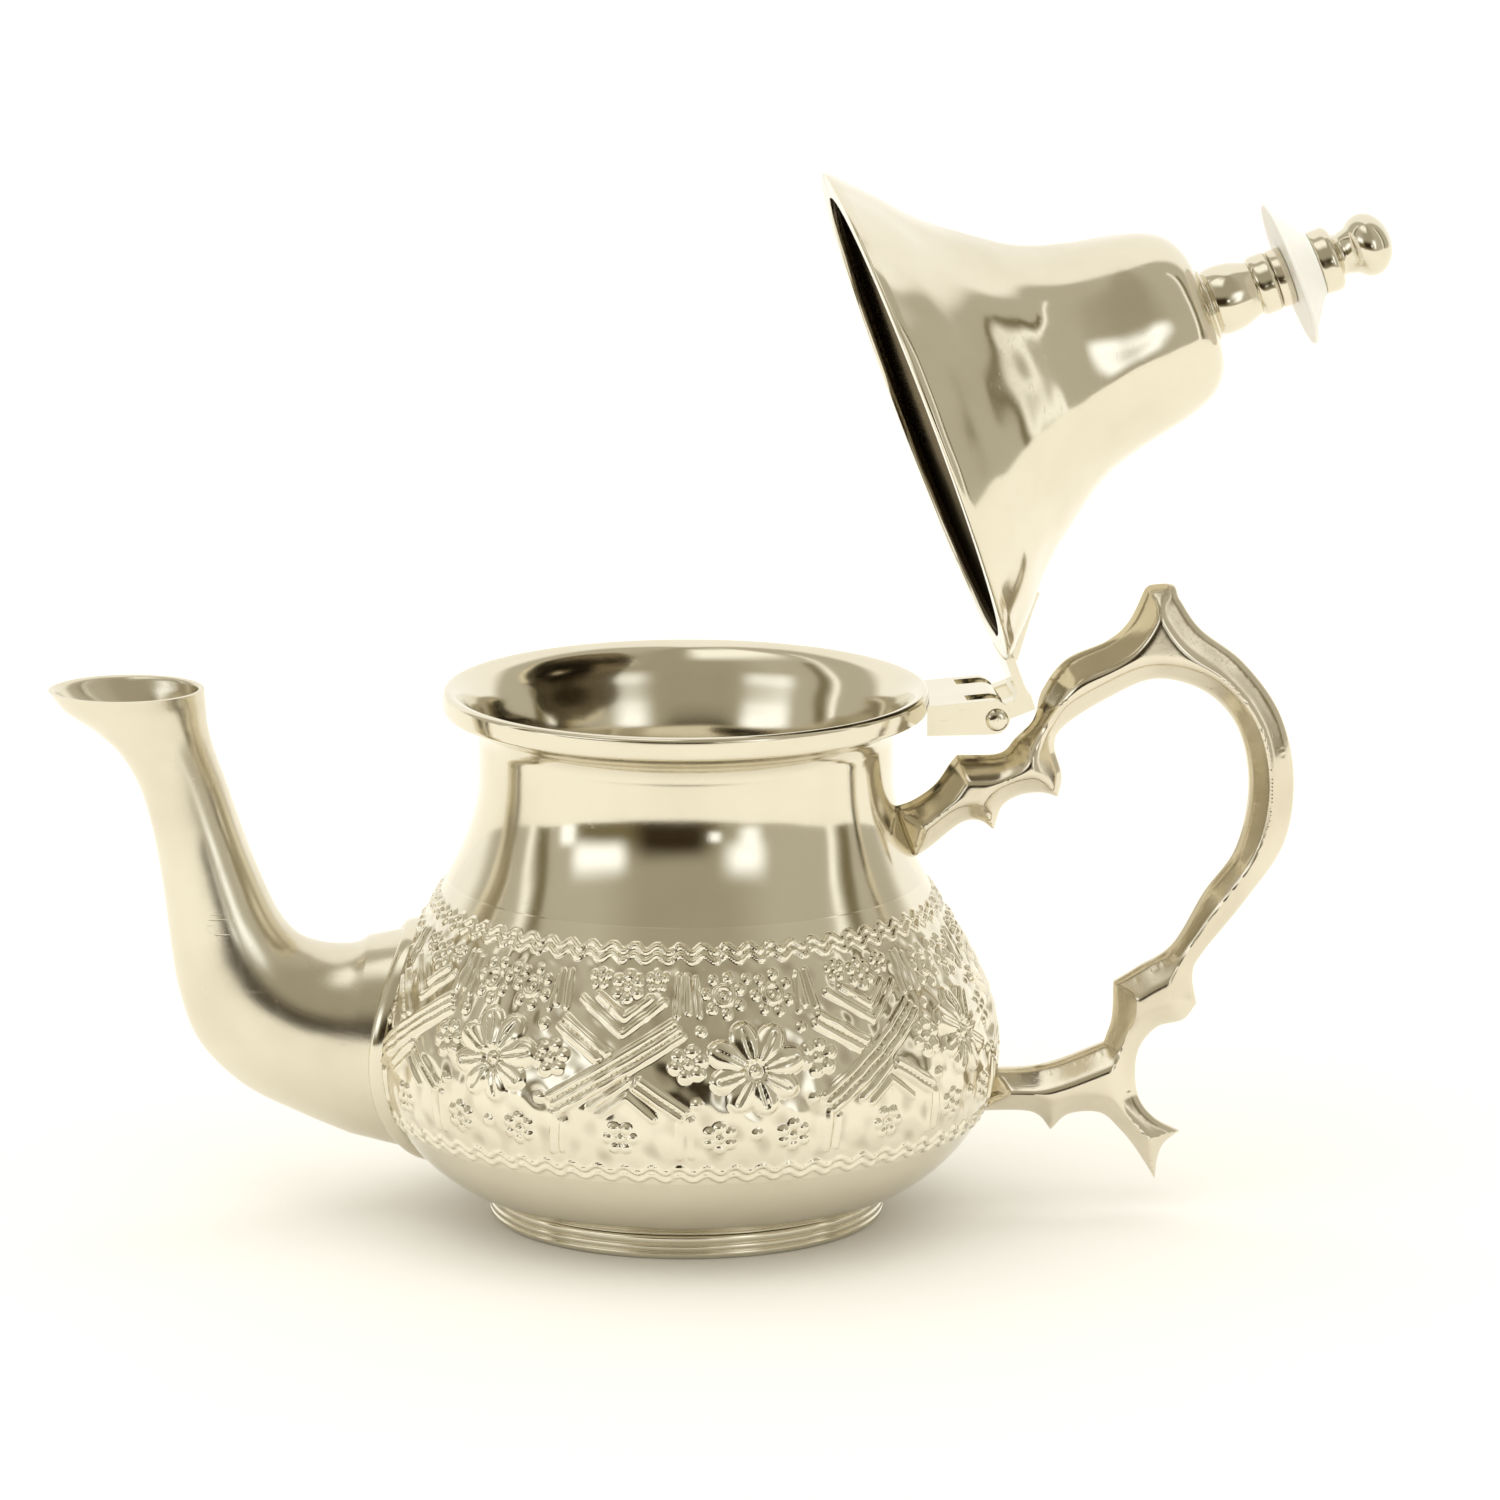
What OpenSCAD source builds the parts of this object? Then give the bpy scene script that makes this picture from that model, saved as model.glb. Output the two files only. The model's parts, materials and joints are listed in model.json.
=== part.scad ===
// Small mint teapot: spun and chased belly pot, gooseneck spout in two stamped halves,
// cast scroll handle, and a bell lid with an insulated knob on a rim hinge.
// +Z up, origin at the middle of the foot on the table, handle towards +X, spout towards -X.
// The lid is drawn open, resting against the handle.

/* [Body] */
// Widest radius of the belly
belly_r = 50.3; // [42:0.1:61]
// Height of the widest point of the belly
belly_z = 27; // [22:0.5:33]
// Height of the pot from the table to the top of its rim
body_h = 86.6; // [72:0.1:104]
// Radius of the straight neck
neck_r = 33.3; // [27:0.1:36]
// Length of the neck and rim above the shoulder
neck_h = 13.6; // [12:0.1:17]
// Outer radius of the band round the rim
rim_r = 39.05; // [36:0.05:43]
// Height of the band round the rim
rim_band_h = 3.4; // [2.4:0.1:4.4]
// Sheet thickness of the body
wall = 0.9; // [0.6:0.1:1.3]

/* [Foot] */
// Outer radius of the foot ring
foot_r = 32; // [26:0.1:34]
// Height of the foot ring
foot_h = 4; // [3:0.1:5.5]
// Thickness of the foot ring from outside to inside
foot_t = 2; // [1.4:0.1:2.6]
// Thickness of the base plate
base_t = 1; // [0.6:0.1:1.6]

/* [Spout] */
// How far the tip of the mouth reaches out past the belly
spout_reach = 52.2; // [44:0.1:63]
// How far the lip of the mouth lies below the rim
spout_drop = 0.5; // [0:0.1:3]
// Half the width of the spout across its middle
spout_half_w = 7.6; // [6.4:0.1:9.2]
// Sheet thickness of the spout
spout_wall = 1; // [0.7:0.1:1.4]
// How far the collar reaches along the spout
collar_w = 2.4; // [1.6:0.1:3.2]
// Thickness of the collar round the spout
collar_t = 1.3; // [0.9:0.1:1.8]
// Radius of the port through the belly behind the spout
port_r = 8.5; // [6.5:0.1:10]
// Radius of one hole in the strainer
strainer_hole_r = 0.9; // [0.6:0.05:1.1]

/* [Handle] */
// Width of the handle casting across the pot
handle_w = 9; // [7:0.1:11]

/* [Hinge] */
// Radius of the hinge pin
pin_r = 1.2; // [0.9:0.05:1.5]
// Distance from the rim band to the hinge pin
pin_reach = 10.05; // [9:0.05:12]
// Depth of the hinge pin below the top of the rim
pin_drop = 4.4; // [4:0.1:5.3]
// Full width of the bracket
bracket_w = 20; // [18:0.1:24]
// Sheet thickness of the bracket
bracket_t = 1.2; // [0.8:0.1:1.5]
// Width of the knuckle in the middle of the bracket
knuckle_w = 8.8; // [7.6:0.1:9.6]
// Width of each lug of the lid leaf
lug_w = 3; // [2:0.1:3.2]
// How far round the rim the hinge sits from the plane of the handle, in degrees
hinge_turn = 6.5; // [-8:0.5:8]
// How far the lid swings from shut to resting on the handle, in degrees
lid_open = 70; // [50:0.5:72]

/* [Lid] */
// How far the edge of the lid reaches out past the rim band
lid_overhang = 2.5; // [2:0.1:3.6]
// Height of the bell of the lid
lid_h = 50; // [42:0.1:61]
// Sheet thickness of the lid
lid_wall = 0.8; // [0.6:0.1:1]
// Width of the hem turned in under the edge of the lid
hem_w = 4; // [3:0.1:5]

/* [Knob] */
// Radius of the stud through the knob
stud_r = 2; // [1.6:0.05:2.4]
// Widest radius of the barrel under the disc
barrel_r = 5.6; // [5:0.1:6.8]
// Height of the barrel
barrel_h = 11; // [9:0.1:13.5]
// Height of the ferrule between barrel and disc
ferrule_h = 2.4; // [1.8:0.1:3]
// Radius of the insulating disc
disc_r = 12; // [10:0.1:14.5]
// Thickness of the insulating disc at its hub
disc_h = 4.8; // [4:0.1:5.8]
// Radius of the collar above the disc
cap_r = 5.3; // [4.4:0.1:6.4]
// Radius of the ball at the tip
ball_r = 5.15; // [4.2:0.05:6.2]

/* [Hidden] */
$fn = 96;

silver = [0.80, 0.76, 0.68];
dull_silver = [0.70, 0.66, 0.58];
milk = [0.96, 0.96, 0.92];

fit = 0.05;            // gap between pieces that are soldered or screwed together
root_gap = 0.2;        // gap between the belly and the faceted root of the spout
run = 0.05;            // radial clearance of the lugs on the hinge pin
side_run = 0.35;       // gap beside each lug
lid_gap = 0.3;         // gap under the shut lid
neck_z = body_h - neck_h;
low_h = belly_z - 2;   // height of the quarter ellipse under the belly
low_r = 20;            // radius at which that ellipse is centred
lid_r = rim_r + lid_overhang;
lid_z = body_h + lid_gap;
pin_x = rim_r + pin_reach;
pin_z = body_h - pin_drop;

// ---- curves ----
// A smooth curve through every point of a list, with n steps between two points
function curve_at(a, b, c, d, t) =
    0.5 * (2 * b + (c - a) * t + (2 * a - 5 * b + 4 * c - d) * t * t
           + (3 * b - a - 3 * c + d) * t * t * t);
function smooth(p, n) =
    let (last = len(p) - 1)
    [for (i = [0 : last - 1]) for (k = [0 : n - 1])
        curve_at(i == 0 ? 2 * p[0] - p[1] : p[i - 1], p[i], p[i + 1],
                 i == last - 1 ? 2 * p[last] - p[last - 1] : p[i + 2], k / n),
     p[last]];
// The same line moved sideways by d, to its right-hand side
function side_step(p, d) =
    let (last = len(p) - 1)
    [for (i = [0 : last])
        let (v = p[min(i + 1, last)] - p[max(i - 1, 0)], n = [v[1], -v[0]] / norm(v))
        p[i] + d * n];
function backwards(p) = [for (i = [len(p) - 1 : -1 : 0]) p[i]];
function arc(c, r, from, to, n) =
    [for (k = [0 : n]) let (a = from + (to - from) * k / n) c + r * [cos(a), sin(a)]];

// ---- the pot's own shape ----
// Radius of the outside of the body at height z
function body_radius(z) =
    z < belly_z ? low_r + (belly_r - low_r) * sqrt(1 - pow((belly_z - z) / low_h, 2))
    : z < neck_z ? neck_r + (belly_r - neck_r) * (1 + cos(180 * (z - belly_z) / (neck_z - belly_z))) / 2
    : neck_r;
low_end = asin((belly_z - foot_h) / low_h);
neck_top = body_h - 9.4;
belly_line = concat(
    [for (k = [12 : -1 : 1]) let (a = low_end * k / 12)
        [low_r + (belly_r - low_r) * cos(a), belly_z - low_h * sin(a)]],
    [for (k = [0 : 20]) let (z = belly_z + (neck_z - belly_z) * k / 20) [body_radius(z), z]],
    [[neck_r, neck_top]]);
rim_line = concat(
    smooth([[neck_r + 0.1, body_h - 7.6], [neck_r + 1.3, body_h - 5.6],
            [rim_r - 2.2, body_h - rim_band_h - 0.7], [rim_r - 0.3, body_h - rim_band_h]], 3),
    arc([rim_r - 0.6, body_h - 0.6], 0.6, 0, 90, 5),
    smooth([[rim_r - 1.4, body_h - 0.2], [rim_r - 3.2, body_h - 2.6],
            [neck_r + 0.6, body_h - 6], [neck_r - wall, neck_top]], 4));

module spun(points) { rotate_extrude(convexity = 6) polygon(points); }
module pot_solid(gap) {
    spun(concat([[0, 0]], [[foot_r + gap, 0], [foot_r + gap, foot_h]],
                side_step(belly_line, gap), [[neck_r + gap, body_h], [0, body_h]]));
}

module body_shell() {
    inside = side_step(belly_line, -wall);
    color(silver)
    difference() {
        spun(concat([[foot_r - foot_t - 3, foot_h]], belly_line, rim_line, backwards(inside),
                    [[foot_r - foot_t - 3, foot_h + wall]]));
        translate([0, 0, port_z]) rotate([0, -90, 0]) cylinder(r = port_r, h = belly_r + 9);
    }
}

module base_plate() {
    color(dull_silver)
    translate([0, 0, foot_h - base_t - fit]) cylinder(r = foot_r - foot_t - fit, h = base_t);
}

module foot_ring() {
    groove = 0.5;
    band = (foot_h - fit - groove) / 3;
    color(silver)
    spun(concat(
        [[foot_r - foot_t, 0.3], [foot_r - foot_t + 0.3, 0], [foot_r - 0.5, 0], [foot_r, 0.5],
         [foot_r, band], [foot_r - groove, band + groove / 2], [foot_r - 0.1, band + groove],
         [foot_r - 0.2, 2 * band + groove], [foot_r - groove - 0.1, 2 * band + 1.5 * groove],
         [foot_r - 0.1, 2 * band + 2 * groove]],
        [[foot_r, foot_h - fit], [foot_r - foot_t, foot_h - fit]]));
}

// ---- spout ----
// Each row is one ring of the spout: the outer edge [out, up] and the inner edge [out, up],
// as shares of the reach and of the height of the mouth, then the half width across as a share
spout_rings = [
    [[1.00, 1.000], [0.521, 1.002], 1.45],
    [[0.95, 0.962], [0.517, 0.975], 1.28],
    [[0.86, 0.925], [0.512, 0.935], 1.13],
    [[0.78, 0.878], [0.495, 0.890], 1.03],
    [[0.72, 0.812], [0.457, 0.825], 0.97],
    [[0.682, 0.727], [0.408, 0.735], 0.97],
    [[0.655, 0.628], [0.352, 0.645], 1.02],
    [[0.635, 0.529], [0.298, 0.575], 1.08],
    [[0.610, 0.428], [0.240, 0.533], 1.17],
    [[0.550, 0.329], [0.178, 0.517], 1.26],
    [[0.415, 0.245], [0.113, 0.512], 1.35],
    [[0.240, 0.190], [0.055, 0.515], 1.44],
    [[0.085, 0.150], [0.018, 0.528], 1.53]];
spout_root = [0.112, 0.546, 1.60];      // lowest and highest share, and half width
mouth_z = body_h - spout_drop;
port_z = mouth_z * (spout_root[0] + spout_root[1]) / 2;
ring_steps = 3;
half_steps = 12;

function spout_xz(p) = [-belly_r - p[0] * spout_reach, p[1] * mouth_z];
spout_flat = smooth([for (s = spout_rings)
    [spout_xz(s[0])[0], spout_xz(s[0])[1], spout_xz(s[1])[0], spout_xz(s[1])[1],
     s[2] * spout_half_w]], ring_steps);
// A point on one ring: a is 0 at the inner edge and 180 at the outer edge, grow is outwards
function ring_point(s, a, grow) =
    let (mid = [s[0] + s[2], s[1] + s[3]] / 2, arm = [s[2] - s[0], s[3] - s[1]] / 2,
         long = norm(arm), p = mid + arm * (1 + grow / long) * cos(a))
    [p[0], (s[4] + grow) * sin(a), p[1]];
// A point where the spout meets the belly, off away from the belly
function root_point(a, grow, off) =
    let (mid = mouth_z * (spout_root[0] + spout_root[1]) / 2,
         long = mouth_z * (spout_root[1] - spout_root[0]) / 2,
         y = (spout_root[2] * spout_half_w + grow) * sin(a), z = mid + (long + grow) * cos(a))
    [-sqrt(pow(body_radius(z) + root_gap, 2) - y * y) - off, y, z];

// A closed skin over rings of points, side is 1 for the far half and -1 for the near half
module skin(rings, side) {
    n = len(rings[0]);
    last = len(rings) - 1;
    points = [for (r = rings) for (p = r) [p[0], side * p[1], p[2]]];
    walls = [for (i = [0 : last - 1]) for (k = [0 : n - 1])
        let (a = i * n + k, b = i * n + (k + 1) % n)
        each [[a, b, b + n], [a, b + n, a + n]]];
    half = n / 2;
    ends = [for (k = [0 : half - 2])
        each [[k, n - 1 - k, n - 2 - k], [k, n - 2 - k, k + 1]]];
    far_ends = [for (f = ends) [f[0], f[2], f[1]] + [1, 1, 1] * last * n];
    faces = concat(walls, ends, far_ends);
    polyhedron(points, side > 0 ? faces : [for (f = faces) [f[0], f[2], f[1]]]);
}

module spout_half(side) {
    seam = 1;      // degrees left open at each edge for the brazed seam
    angles = [for (k = [0 : half_steps]) seam + (180 - 2 * seam) * k / half_steps];
    rings = concat(
        [for (s = spout_flat) concat([for (a = angles) ring_point(s, a, 0)],
                                     [for (a = backwards(angles)) ring_point(s, a, -spout_wall)])],
        [concat([for (a = angles) root_point(a, 0, 0)],
                [for (a = backwards(angles)) root_point(a, -spout_wall, 0)])]);
    color(dull_silver) skin(rings, side);
}
module spout_near_half() { spout_half(-1); }
module spout_far_half() { spout_half(1); }

module spout_collar() {
    turns = 36;
    loop = [for (k = [0 : turns - 1]) let (a = 360 * k / turns)
        [root_point(a, 2 * fit, fit), root_point(a, collar_t, fit),
         root_point(a, collar_t * 0.8, collar_w), root_point(a, 4 * fit + 0.4, collar_w)]];
    points = [for (r = loop) each r];
    color(silver)
    polyhedron(points, [for (i = [0 : turns - 1]) for (k = [0 : 3])
        let (a = i * 4 + k, b = i * 4 + (k + 1) % 4,
             c = ((i + 1) % turns) * 4 + (k + 1) % 4, d = ((i + 1) % turns) * 4 + k)
        each [[a, c, b], [a, d, c]]]);
}

module spout_strainer() {
    pitch = 3.2;
    plate_r = port_r + 2.5;
    inner = side_step(belly_line, -wall - fit);
    color(dull_silver)
    difference() {
        intersection() {
            spun(concat(inner, backwards(side_step(belly_line, -wall - fit - 0.7))));
            translate([0, 0, port_z]) rotate([0, -90, 0]) cylinder(r = plate_r, h = belly_r + 9);
        }
        for (row = [-2 : 2], col = [-2 : 2]) {
            y = pitch * (col + row / 2);
            z = pitch * row * sqrt(3) / 2;
            if (norm([y, z]) < port_r - strainer_hole_r)
                translate([0, y, port_z + z]) rotate([0, -90, 0])
                    cylinder(r = strainer_hole_r, h = belly_r + 9);
        }
    }
}

// ---- handle ----
// The outline is drawn round a hinge pin at handle_ref and moves with the real pin.
// Each list is one smooth run, and runs meet at the corners of the casting.
handle_ref = [49, 82];
handle_runs = [
    [[30, 66.5], [34, 67], [37, 68.2], [40, 70.5], [42.3, 73.8], [43.5, 75.3]],
    [[43.5, 75.3], [50.3, 75.6], [53, 78.2], [55.8, 81.2], [57.2, 86], [61, 91], [67.5, 94],
     [71, 97.2], [73.6, 102.6]],
    [[73.6, 102.6], [74.7, 103.2], [78, 103.2], [79, 101]],
    [[79, 101], [82.5, 96], [89.5, 90.5], [95.5, 82], [97.8, 71.5], [96.3, 60.7], [90.3, 51.5],
     [83.3, 42.5], [81.8, 39], [82.5, 34.2]],
    [[82.5, 34.2], [80.3, 31.5], [76, 30.2], [73, 26], [73, 19.5], [75.5, 15.5], [80, 13]],
    [[80, 13], [77.5, 11], [76.4, 8.5], [76, 5]],
    [[76, 5], [73, 9.8], [70.2, 13.3], [67, 16], [62, 15.8], [59, 13.2]],
    [[59, 13.2], [57, 15.6], [54, 16.4], [46, 16.3], [40, 16.3]],
    [[40, 23.8], [46, 23.8], [54, 23.8], [59.5, 24.8], [67.6, 28]],
    [[67.6, 28], [68.8, 32], [69, 38]],
    [[69, 38], [73, 40.5], [78.5, 44.2], [83.5, 52.8], [88.5, 60], [90.5, 70], [88.8, 79.5],
     [83.5, 85.6], [75.5, 87.8], [68, 84.8], [61, 80.3], [59.2, 77], [60.4, 72], [59.8, 68.4]],
    [[59.8, 68.4], [57, 69.1], [53.5, 68.6], [50.8, 66.8], [49.5, 63]],
    [[49.5, 63], [47.2, 64.5], [44, 64], [38.5, 59.6], [35, 58], [30, 58]]];
function handle_place(p) = [p[0] - handle_ref[0] + pin_x, p[1] * pin_z / handle_ref[1]];

module handle() {
    color(dull_silver)
    difference() {
        rotate([90, 0, 0]) linear_extrude(handle_w, center = true)
            polygon([for (run_points = handle_runs) for (p = smooth(run_points, 4)) handle_place(p)]);
        pot_solid(2 * fit);
    }
}

// ---- hinge ----
module at_hinge() { rotate([0, 0, hinge_turn]) translate([pin_x, 0, pin_z]) children(); }
module along_pin(r, w) { rotate([90, 0, 0]) cylinder(r = r, h = w, center = true); }
module side_plate(points, w) { rotate([90, 0, 0]) linear_extrude(w, center = true) polygon(points); }
slot_in = knuckle_w / 2;
slot_w = lug_w + 2 * side_run;
slot_x = -4.6;
nose = [-0.6, 0.4];
nose_r = 2.8;

module hinge_bracket() {
    back = -pin_reach - 3;
    rise = 2.3;
    front = nose[1] + nose_r;
    color(silver)
    difference() {
        at_hinge() union() {
            difference() {
                side_plate(concat([[back, -2.4], [back, rise]], arc(nose, nose_r, 90, -90, 12)),
                           bracket_w);
                side_plate([[back - 1, -9], [back - 1, rise - bracket_t], [0, front - bracket_t],
                            [9, front - bracket_t], [9, -9]], bracket_w - 2 * bracket_t);
                for (s = [-1, 1])
                    translate([slot_x, s * (slot_in + slot_w / 2) - slot_w / 2, 0])
                        cube([12, slot_w, 9]);
                along_pin(pin_r + fit / 2, bracket_w + 2);
            }
            difference() {
                union() {
                    along_pin(pin_r + 1, knuckle_w);
                    translate([slot_x, -knuckle_w / 2, nose[1] + nose_r - bracket_t - 0.6])
                        cube([-slot_x, knuckle_w, bracket_t]);
                    translate([-0.9, -knuckle_w / 2, pin_r + 0.5]) cube([1.8, knuckle_w, 0.9]);
                }
                along_pin(pin_r + fit / 2, knuckle_w + 2);
            }
        }
        translate([0, 0, pin_z - 9]) cylinder(r = rim_r + fit, h = 20);
    }
}

module hinge_pin() {
    head_r = pin_r + 0.6;
    head_h = 0.9;
    half = bracket_w / 2 + fit;
    top = smooth([[head_r, half], [head_r, half + 0.25], [head_r * 0.75, half + head_h * 0.75],
                  [head_r * 0.4, half + head_h * 0.96], [0, half + head_h]], 3);
    color(dull_silver)
    at_hinge() rotate([-90, 0, 0])
        spun(concat([for (p = backwards(top)) [p[0], -p[1]]], [[pin_r, -half], [pin_r, half]], top));
}

// ---- lid, drawn shut and then swung open about the pin ----
module at_lid() {
    at_hinge() rotate([0, lid_open, 0]) translate([-pin_x, 0, lid_z - pin_z]) children();
}
brim_top = [0.752, 0.204];
lid_line = concat(
    [[lid_r - 0.3, 0], [lid_r, 0.3], [lid_r - 0.1, 0.8]],
    smooth([for (p = [[0.985, 0.030], [0.938, 0.066], [0.846, 0.138], brim_top, [0.675, 0.272],
                      [0.615, 0.338], [0.556, 0.405], [0.503, 0.470], [0.457, 0.550],
                      [0.424, 0.645], [0.402, 0.730], [0.381, 0.815], [0.352, 0.893],
                      [0.312, 0.948], [0.255, 0.984], [0.195, 0.998], [0.150, 1.0]])
            [p[0] * lid_r, p[1] * lid_h]], 4));

module lid_shell() {
    inside = side_step([for (i = [3 : len(lid_line) - 1]) lid_line[i]], -lid_wall);
    color(silver)
    at_lid()
        spun(concat(lid_line, [[stud_r + fit, lid_h], [stud_r + fit, lid_h - lid_wall]],
                    backwards(inside), [[lid_r - hem_w, lid_wall], [lid_r - hem_w, 0]]));
}

module lid_leaf() {
    half = slot_in + side_run + lug_w;
    base = [lid_r * 0.985, lid_h * 0.030];
    along = ([brim_top[0] * lid_r, brim_top[1] * lid_h] - base)
            / norm([brim_top[0] * lid_r, brim_top[1] * lid_h] - base);
    out = [along[1], -along[0]];
    thick = 1;
    reach = 12.5;
    lift = 0.3;
    heel = [-1.5, 1.2];      // from the pin, towards the pot and towards the handle
    color(silver)
    at_lid() difference() {
        union() {
            intersection() {
                spun([base + lift * out - along, base + lift * out + reach * along,
                      base + (lift + thick) * out + (reach - 1) * along,
                      base + (lift + thick) * out - along]);
                translate([lid_r / 2, -half + 1, 0.3]) cube([lid_r, 2 * half - 2, lid_h]);
            }
            difference() {
                translate([lid_r - 3, -half, 0]) cube([pin_reach - lid_overhang + 3, 2 * half, 1.5]);
                translate([0, 0, -1]) cylinder(r = lid_r + 4 * fit, h = 4);
            }
            translate([pin_x + heel[0], -half, -0.4]) cube([heel[1] - heel[0], 2 * half, 2.3]);
            for (s = [-1, 1])
                translate([pin_x, s * (slot_in + side_run + lug_w / 2), pin_z - lid_z]) {
                    along_pin(pin_r + 0.9, lug_w);
                    translate([heel[0], -lug_w / 2, 0])
                        cube([heel[1] - heel[0], lug_w, lid_z - pin_z + 0.5]);
                }
        }
        translate([pin_x, 0, pin_z - lid_z]) along_pin(pin_r + run, bracket_w);
    }
}

// ---- knob, piece on piece up the stud ----
module knob_part(z, points) { at_lid() translate([0, 0, lid_h + z]) spun(points); }
bore = stud_r + fit;
base_ring_h = 0.9;
barrel_z = fit + base_ring_h;
ferrule_z = barrel_z + barrel_h;
disc_z = ferrule_z + ferrule_h;
cap_z = disc_z + disc_h;

module knob_base_ring() {
    color(silver)
    knob_part(fit, [[bore, 0], [barrel_r, 0], [barrel_r + 0.3, 0.3], [barrel_r, base_ring_h - fit],
                    [bore, base_ring_h - fit]]);
}

module knob_barrel() {
    top = barrel_h - fit;
    neck = barrel_r - 1.2;
    side = smooth([[barrel_r - 0.4, 0], [barrel_r - 0.1, 1], [barrel_r, 2.6], [barrel_r - 0.4, 4.8],
                   [neck + 0.1, 7], [neck, 7.6]], 3);
    color(silver)
    knob_part(barrel_z, concat([[bore, 0]], side, smooth([[neck, 7.8], [neck + 0.4, 8.4],
                               [neck + 0.45, top - 0.2], [neck + 0.2, top]], 3), [[bore, top]]));
}

module knob_ferrule() {
    color(dull_silver)
    knob_part(ferrule_z, [[bore, 0], [barrel_r - 1, 0], [barrel_r - 0.8, 0.3],
                          [barrel_r - 0.8, ferrule_h - fit], [bore, ferrule_h - fit]]);
}

module insulator_disc() {
    edge = 0.8;
    hub_r = cap_r + 0.1;
    color(milk)
    knob_part(disc_z, concat([[bore, 0], [disc_r - 0.3, 0]], arc([disc_r - edge / 2, edge / 2],
                             edge / 2, -90, 90, 6), smooth([[disc_r - 1.5, 1.1],
                             [(disc_r + hub_r) / 2, 2.3], [hub_r + 0.6, disc_h - 0.9],
                             [hub_r, disc_h - fit]], 3), [[bore, disc_h - fit]]));
}

module knob_cap() {
    neck = cap_r - 2;
    ball_h = ball_r * 0.76;
    ball_z = 4.9 + ball_h;
    socket = 6.6;
    color(silver)
    knob_part(cap_z, concat([[bore, 0]], smooth([[cap_r - 0.2, 0], [cap_r, 0.4], [cap_r, 2.6],
                            [cap_r - 0.5, 3.3]], 2), [[neck + 0.3, 3.7], [neck, 4.4]],
                            [for (k = [0 : 14]) let (a = -44 + 134 * k / 14)
                                [ball_r * cos(a), ball_z + ball_h * sin(a)]],
                            [[0, socket], [bore, socket]]));
}

module knob_stud() {
    low = -5.2;
    color(dull_silver) knob_part(low, [[0, 0], [stud_r - 0.4, 0], [stud_r, 0.4],
                                       [stud_r, cap_z + 6.4 - low], [0, cap_z + 6.4 - low]]);
}

module knob_washer() {
    color(dull_silver)
    knob_part(-lid_wall - fit - 0.8, [[bore, 0], [stud_r + 3.2, 0], [stud_r + 3.2, 0.8], [bore, 0.8]]);
}

module knob_nut() {
    nut_h = 2.2;
    color(dull_silver)
    at_lid() translate([0, 0, lid_h - lid_wall - 2 * fit - 0.8 - nut_h]) difference() {
        cylinder(r = stud_r + 1.9, h = nut_h, $fn = 6);
        translate([0, 0, -1]) cylinder(r = bore, h = nut_h + 2);
    }
}

body_shell();
base_plate();
foot_ring();
spout_near_half();
spout_far_half();
spout_collar();
spout_strainer();
handle();
hinge_bracket();
hinge_pin();
lid_leaf();
lid_shell();
knob_base_ring();
knob_barrel();
knob_ferrule();
insulator_disc();
knob_cap();
knob_stud();
knob_washer();
knob_nut();
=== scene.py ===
import json
import math

import bmesh
import bpy
import numpy as np
from mathutils import Matrix, Vector, geometry


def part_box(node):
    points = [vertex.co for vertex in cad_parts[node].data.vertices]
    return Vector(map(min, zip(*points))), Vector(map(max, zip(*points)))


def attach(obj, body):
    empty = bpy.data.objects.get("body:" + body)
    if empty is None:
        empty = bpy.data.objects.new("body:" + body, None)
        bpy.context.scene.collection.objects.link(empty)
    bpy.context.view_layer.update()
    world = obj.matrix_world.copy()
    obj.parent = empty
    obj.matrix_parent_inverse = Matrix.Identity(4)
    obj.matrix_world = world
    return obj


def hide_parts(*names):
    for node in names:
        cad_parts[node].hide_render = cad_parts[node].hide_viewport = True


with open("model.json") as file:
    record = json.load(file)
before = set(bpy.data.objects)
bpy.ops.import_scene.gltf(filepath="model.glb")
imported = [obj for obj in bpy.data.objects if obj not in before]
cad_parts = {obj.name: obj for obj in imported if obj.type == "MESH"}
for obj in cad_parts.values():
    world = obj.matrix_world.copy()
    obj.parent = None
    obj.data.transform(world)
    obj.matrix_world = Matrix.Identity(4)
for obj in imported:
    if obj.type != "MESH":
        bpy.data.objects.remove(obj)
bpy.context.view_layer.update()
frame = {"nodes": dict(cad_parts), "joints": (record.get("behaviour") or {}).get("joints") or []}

MM = 0.001
TURN = 2 * math.pi
DOUBLES = 1e-6           # vertices nearer than this, in metres, are one


# ---------------------------------------------------------------- sizes, all in millimetres
def node_box(node):
    low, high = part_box(node)
    return [v / MM for v in low], [v / MM for v in high]


shell_low, shell_high = node_box("body_shell")
foot_low, foot_high = node_box("foot_ring")
BELLY_R = shell_high[1]
RIM_TOP = shell_high[2]
FOOT_R = foot_high[1]
FOOT_H = shell_low[2]
BELLY_Z = 27.0
NECK_R = 33.3
NECK_Z = RIM_TOP - 13.6
RIM_R = 39.05
BAND_H = 3.4
WALL = 0.9
LOW_R = 20.0
LOW_H = BELLY_Z - 2.0

BELT_LOW = 16.6
BELT_TOP = 56.0
BELT_SINK = 0.35

SPOUT_REACH = -BELLY_R - node_box("spout_near_half")[0][0]
MOUTH_Z = node_box("spout_near_half")[1][2]
SPOUT_HALF_W = 7.6
SPOUT_WALL = 1.0

hinge = frame["joints"][0]
PIN = Vector(hinge["pos_m"])
PIN_AXIS = Vector(hinge["axis"]).normalized()
LID_SWING = math.radians(-min(hinge["range_deg"]))
PIN_X = math.hypot(PIN.x, PIN.y) / MM
PIN_Z = PIN.z / MM
HINGE_TURN = math.atan2(PIN.y, PIN.x)

LID_R = 41.55
LID_H = 50.0
LID_Z = RIM_TOP + 0.3
LID_WALL = 0.8
STRAP_REACH = 10.5


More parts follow.
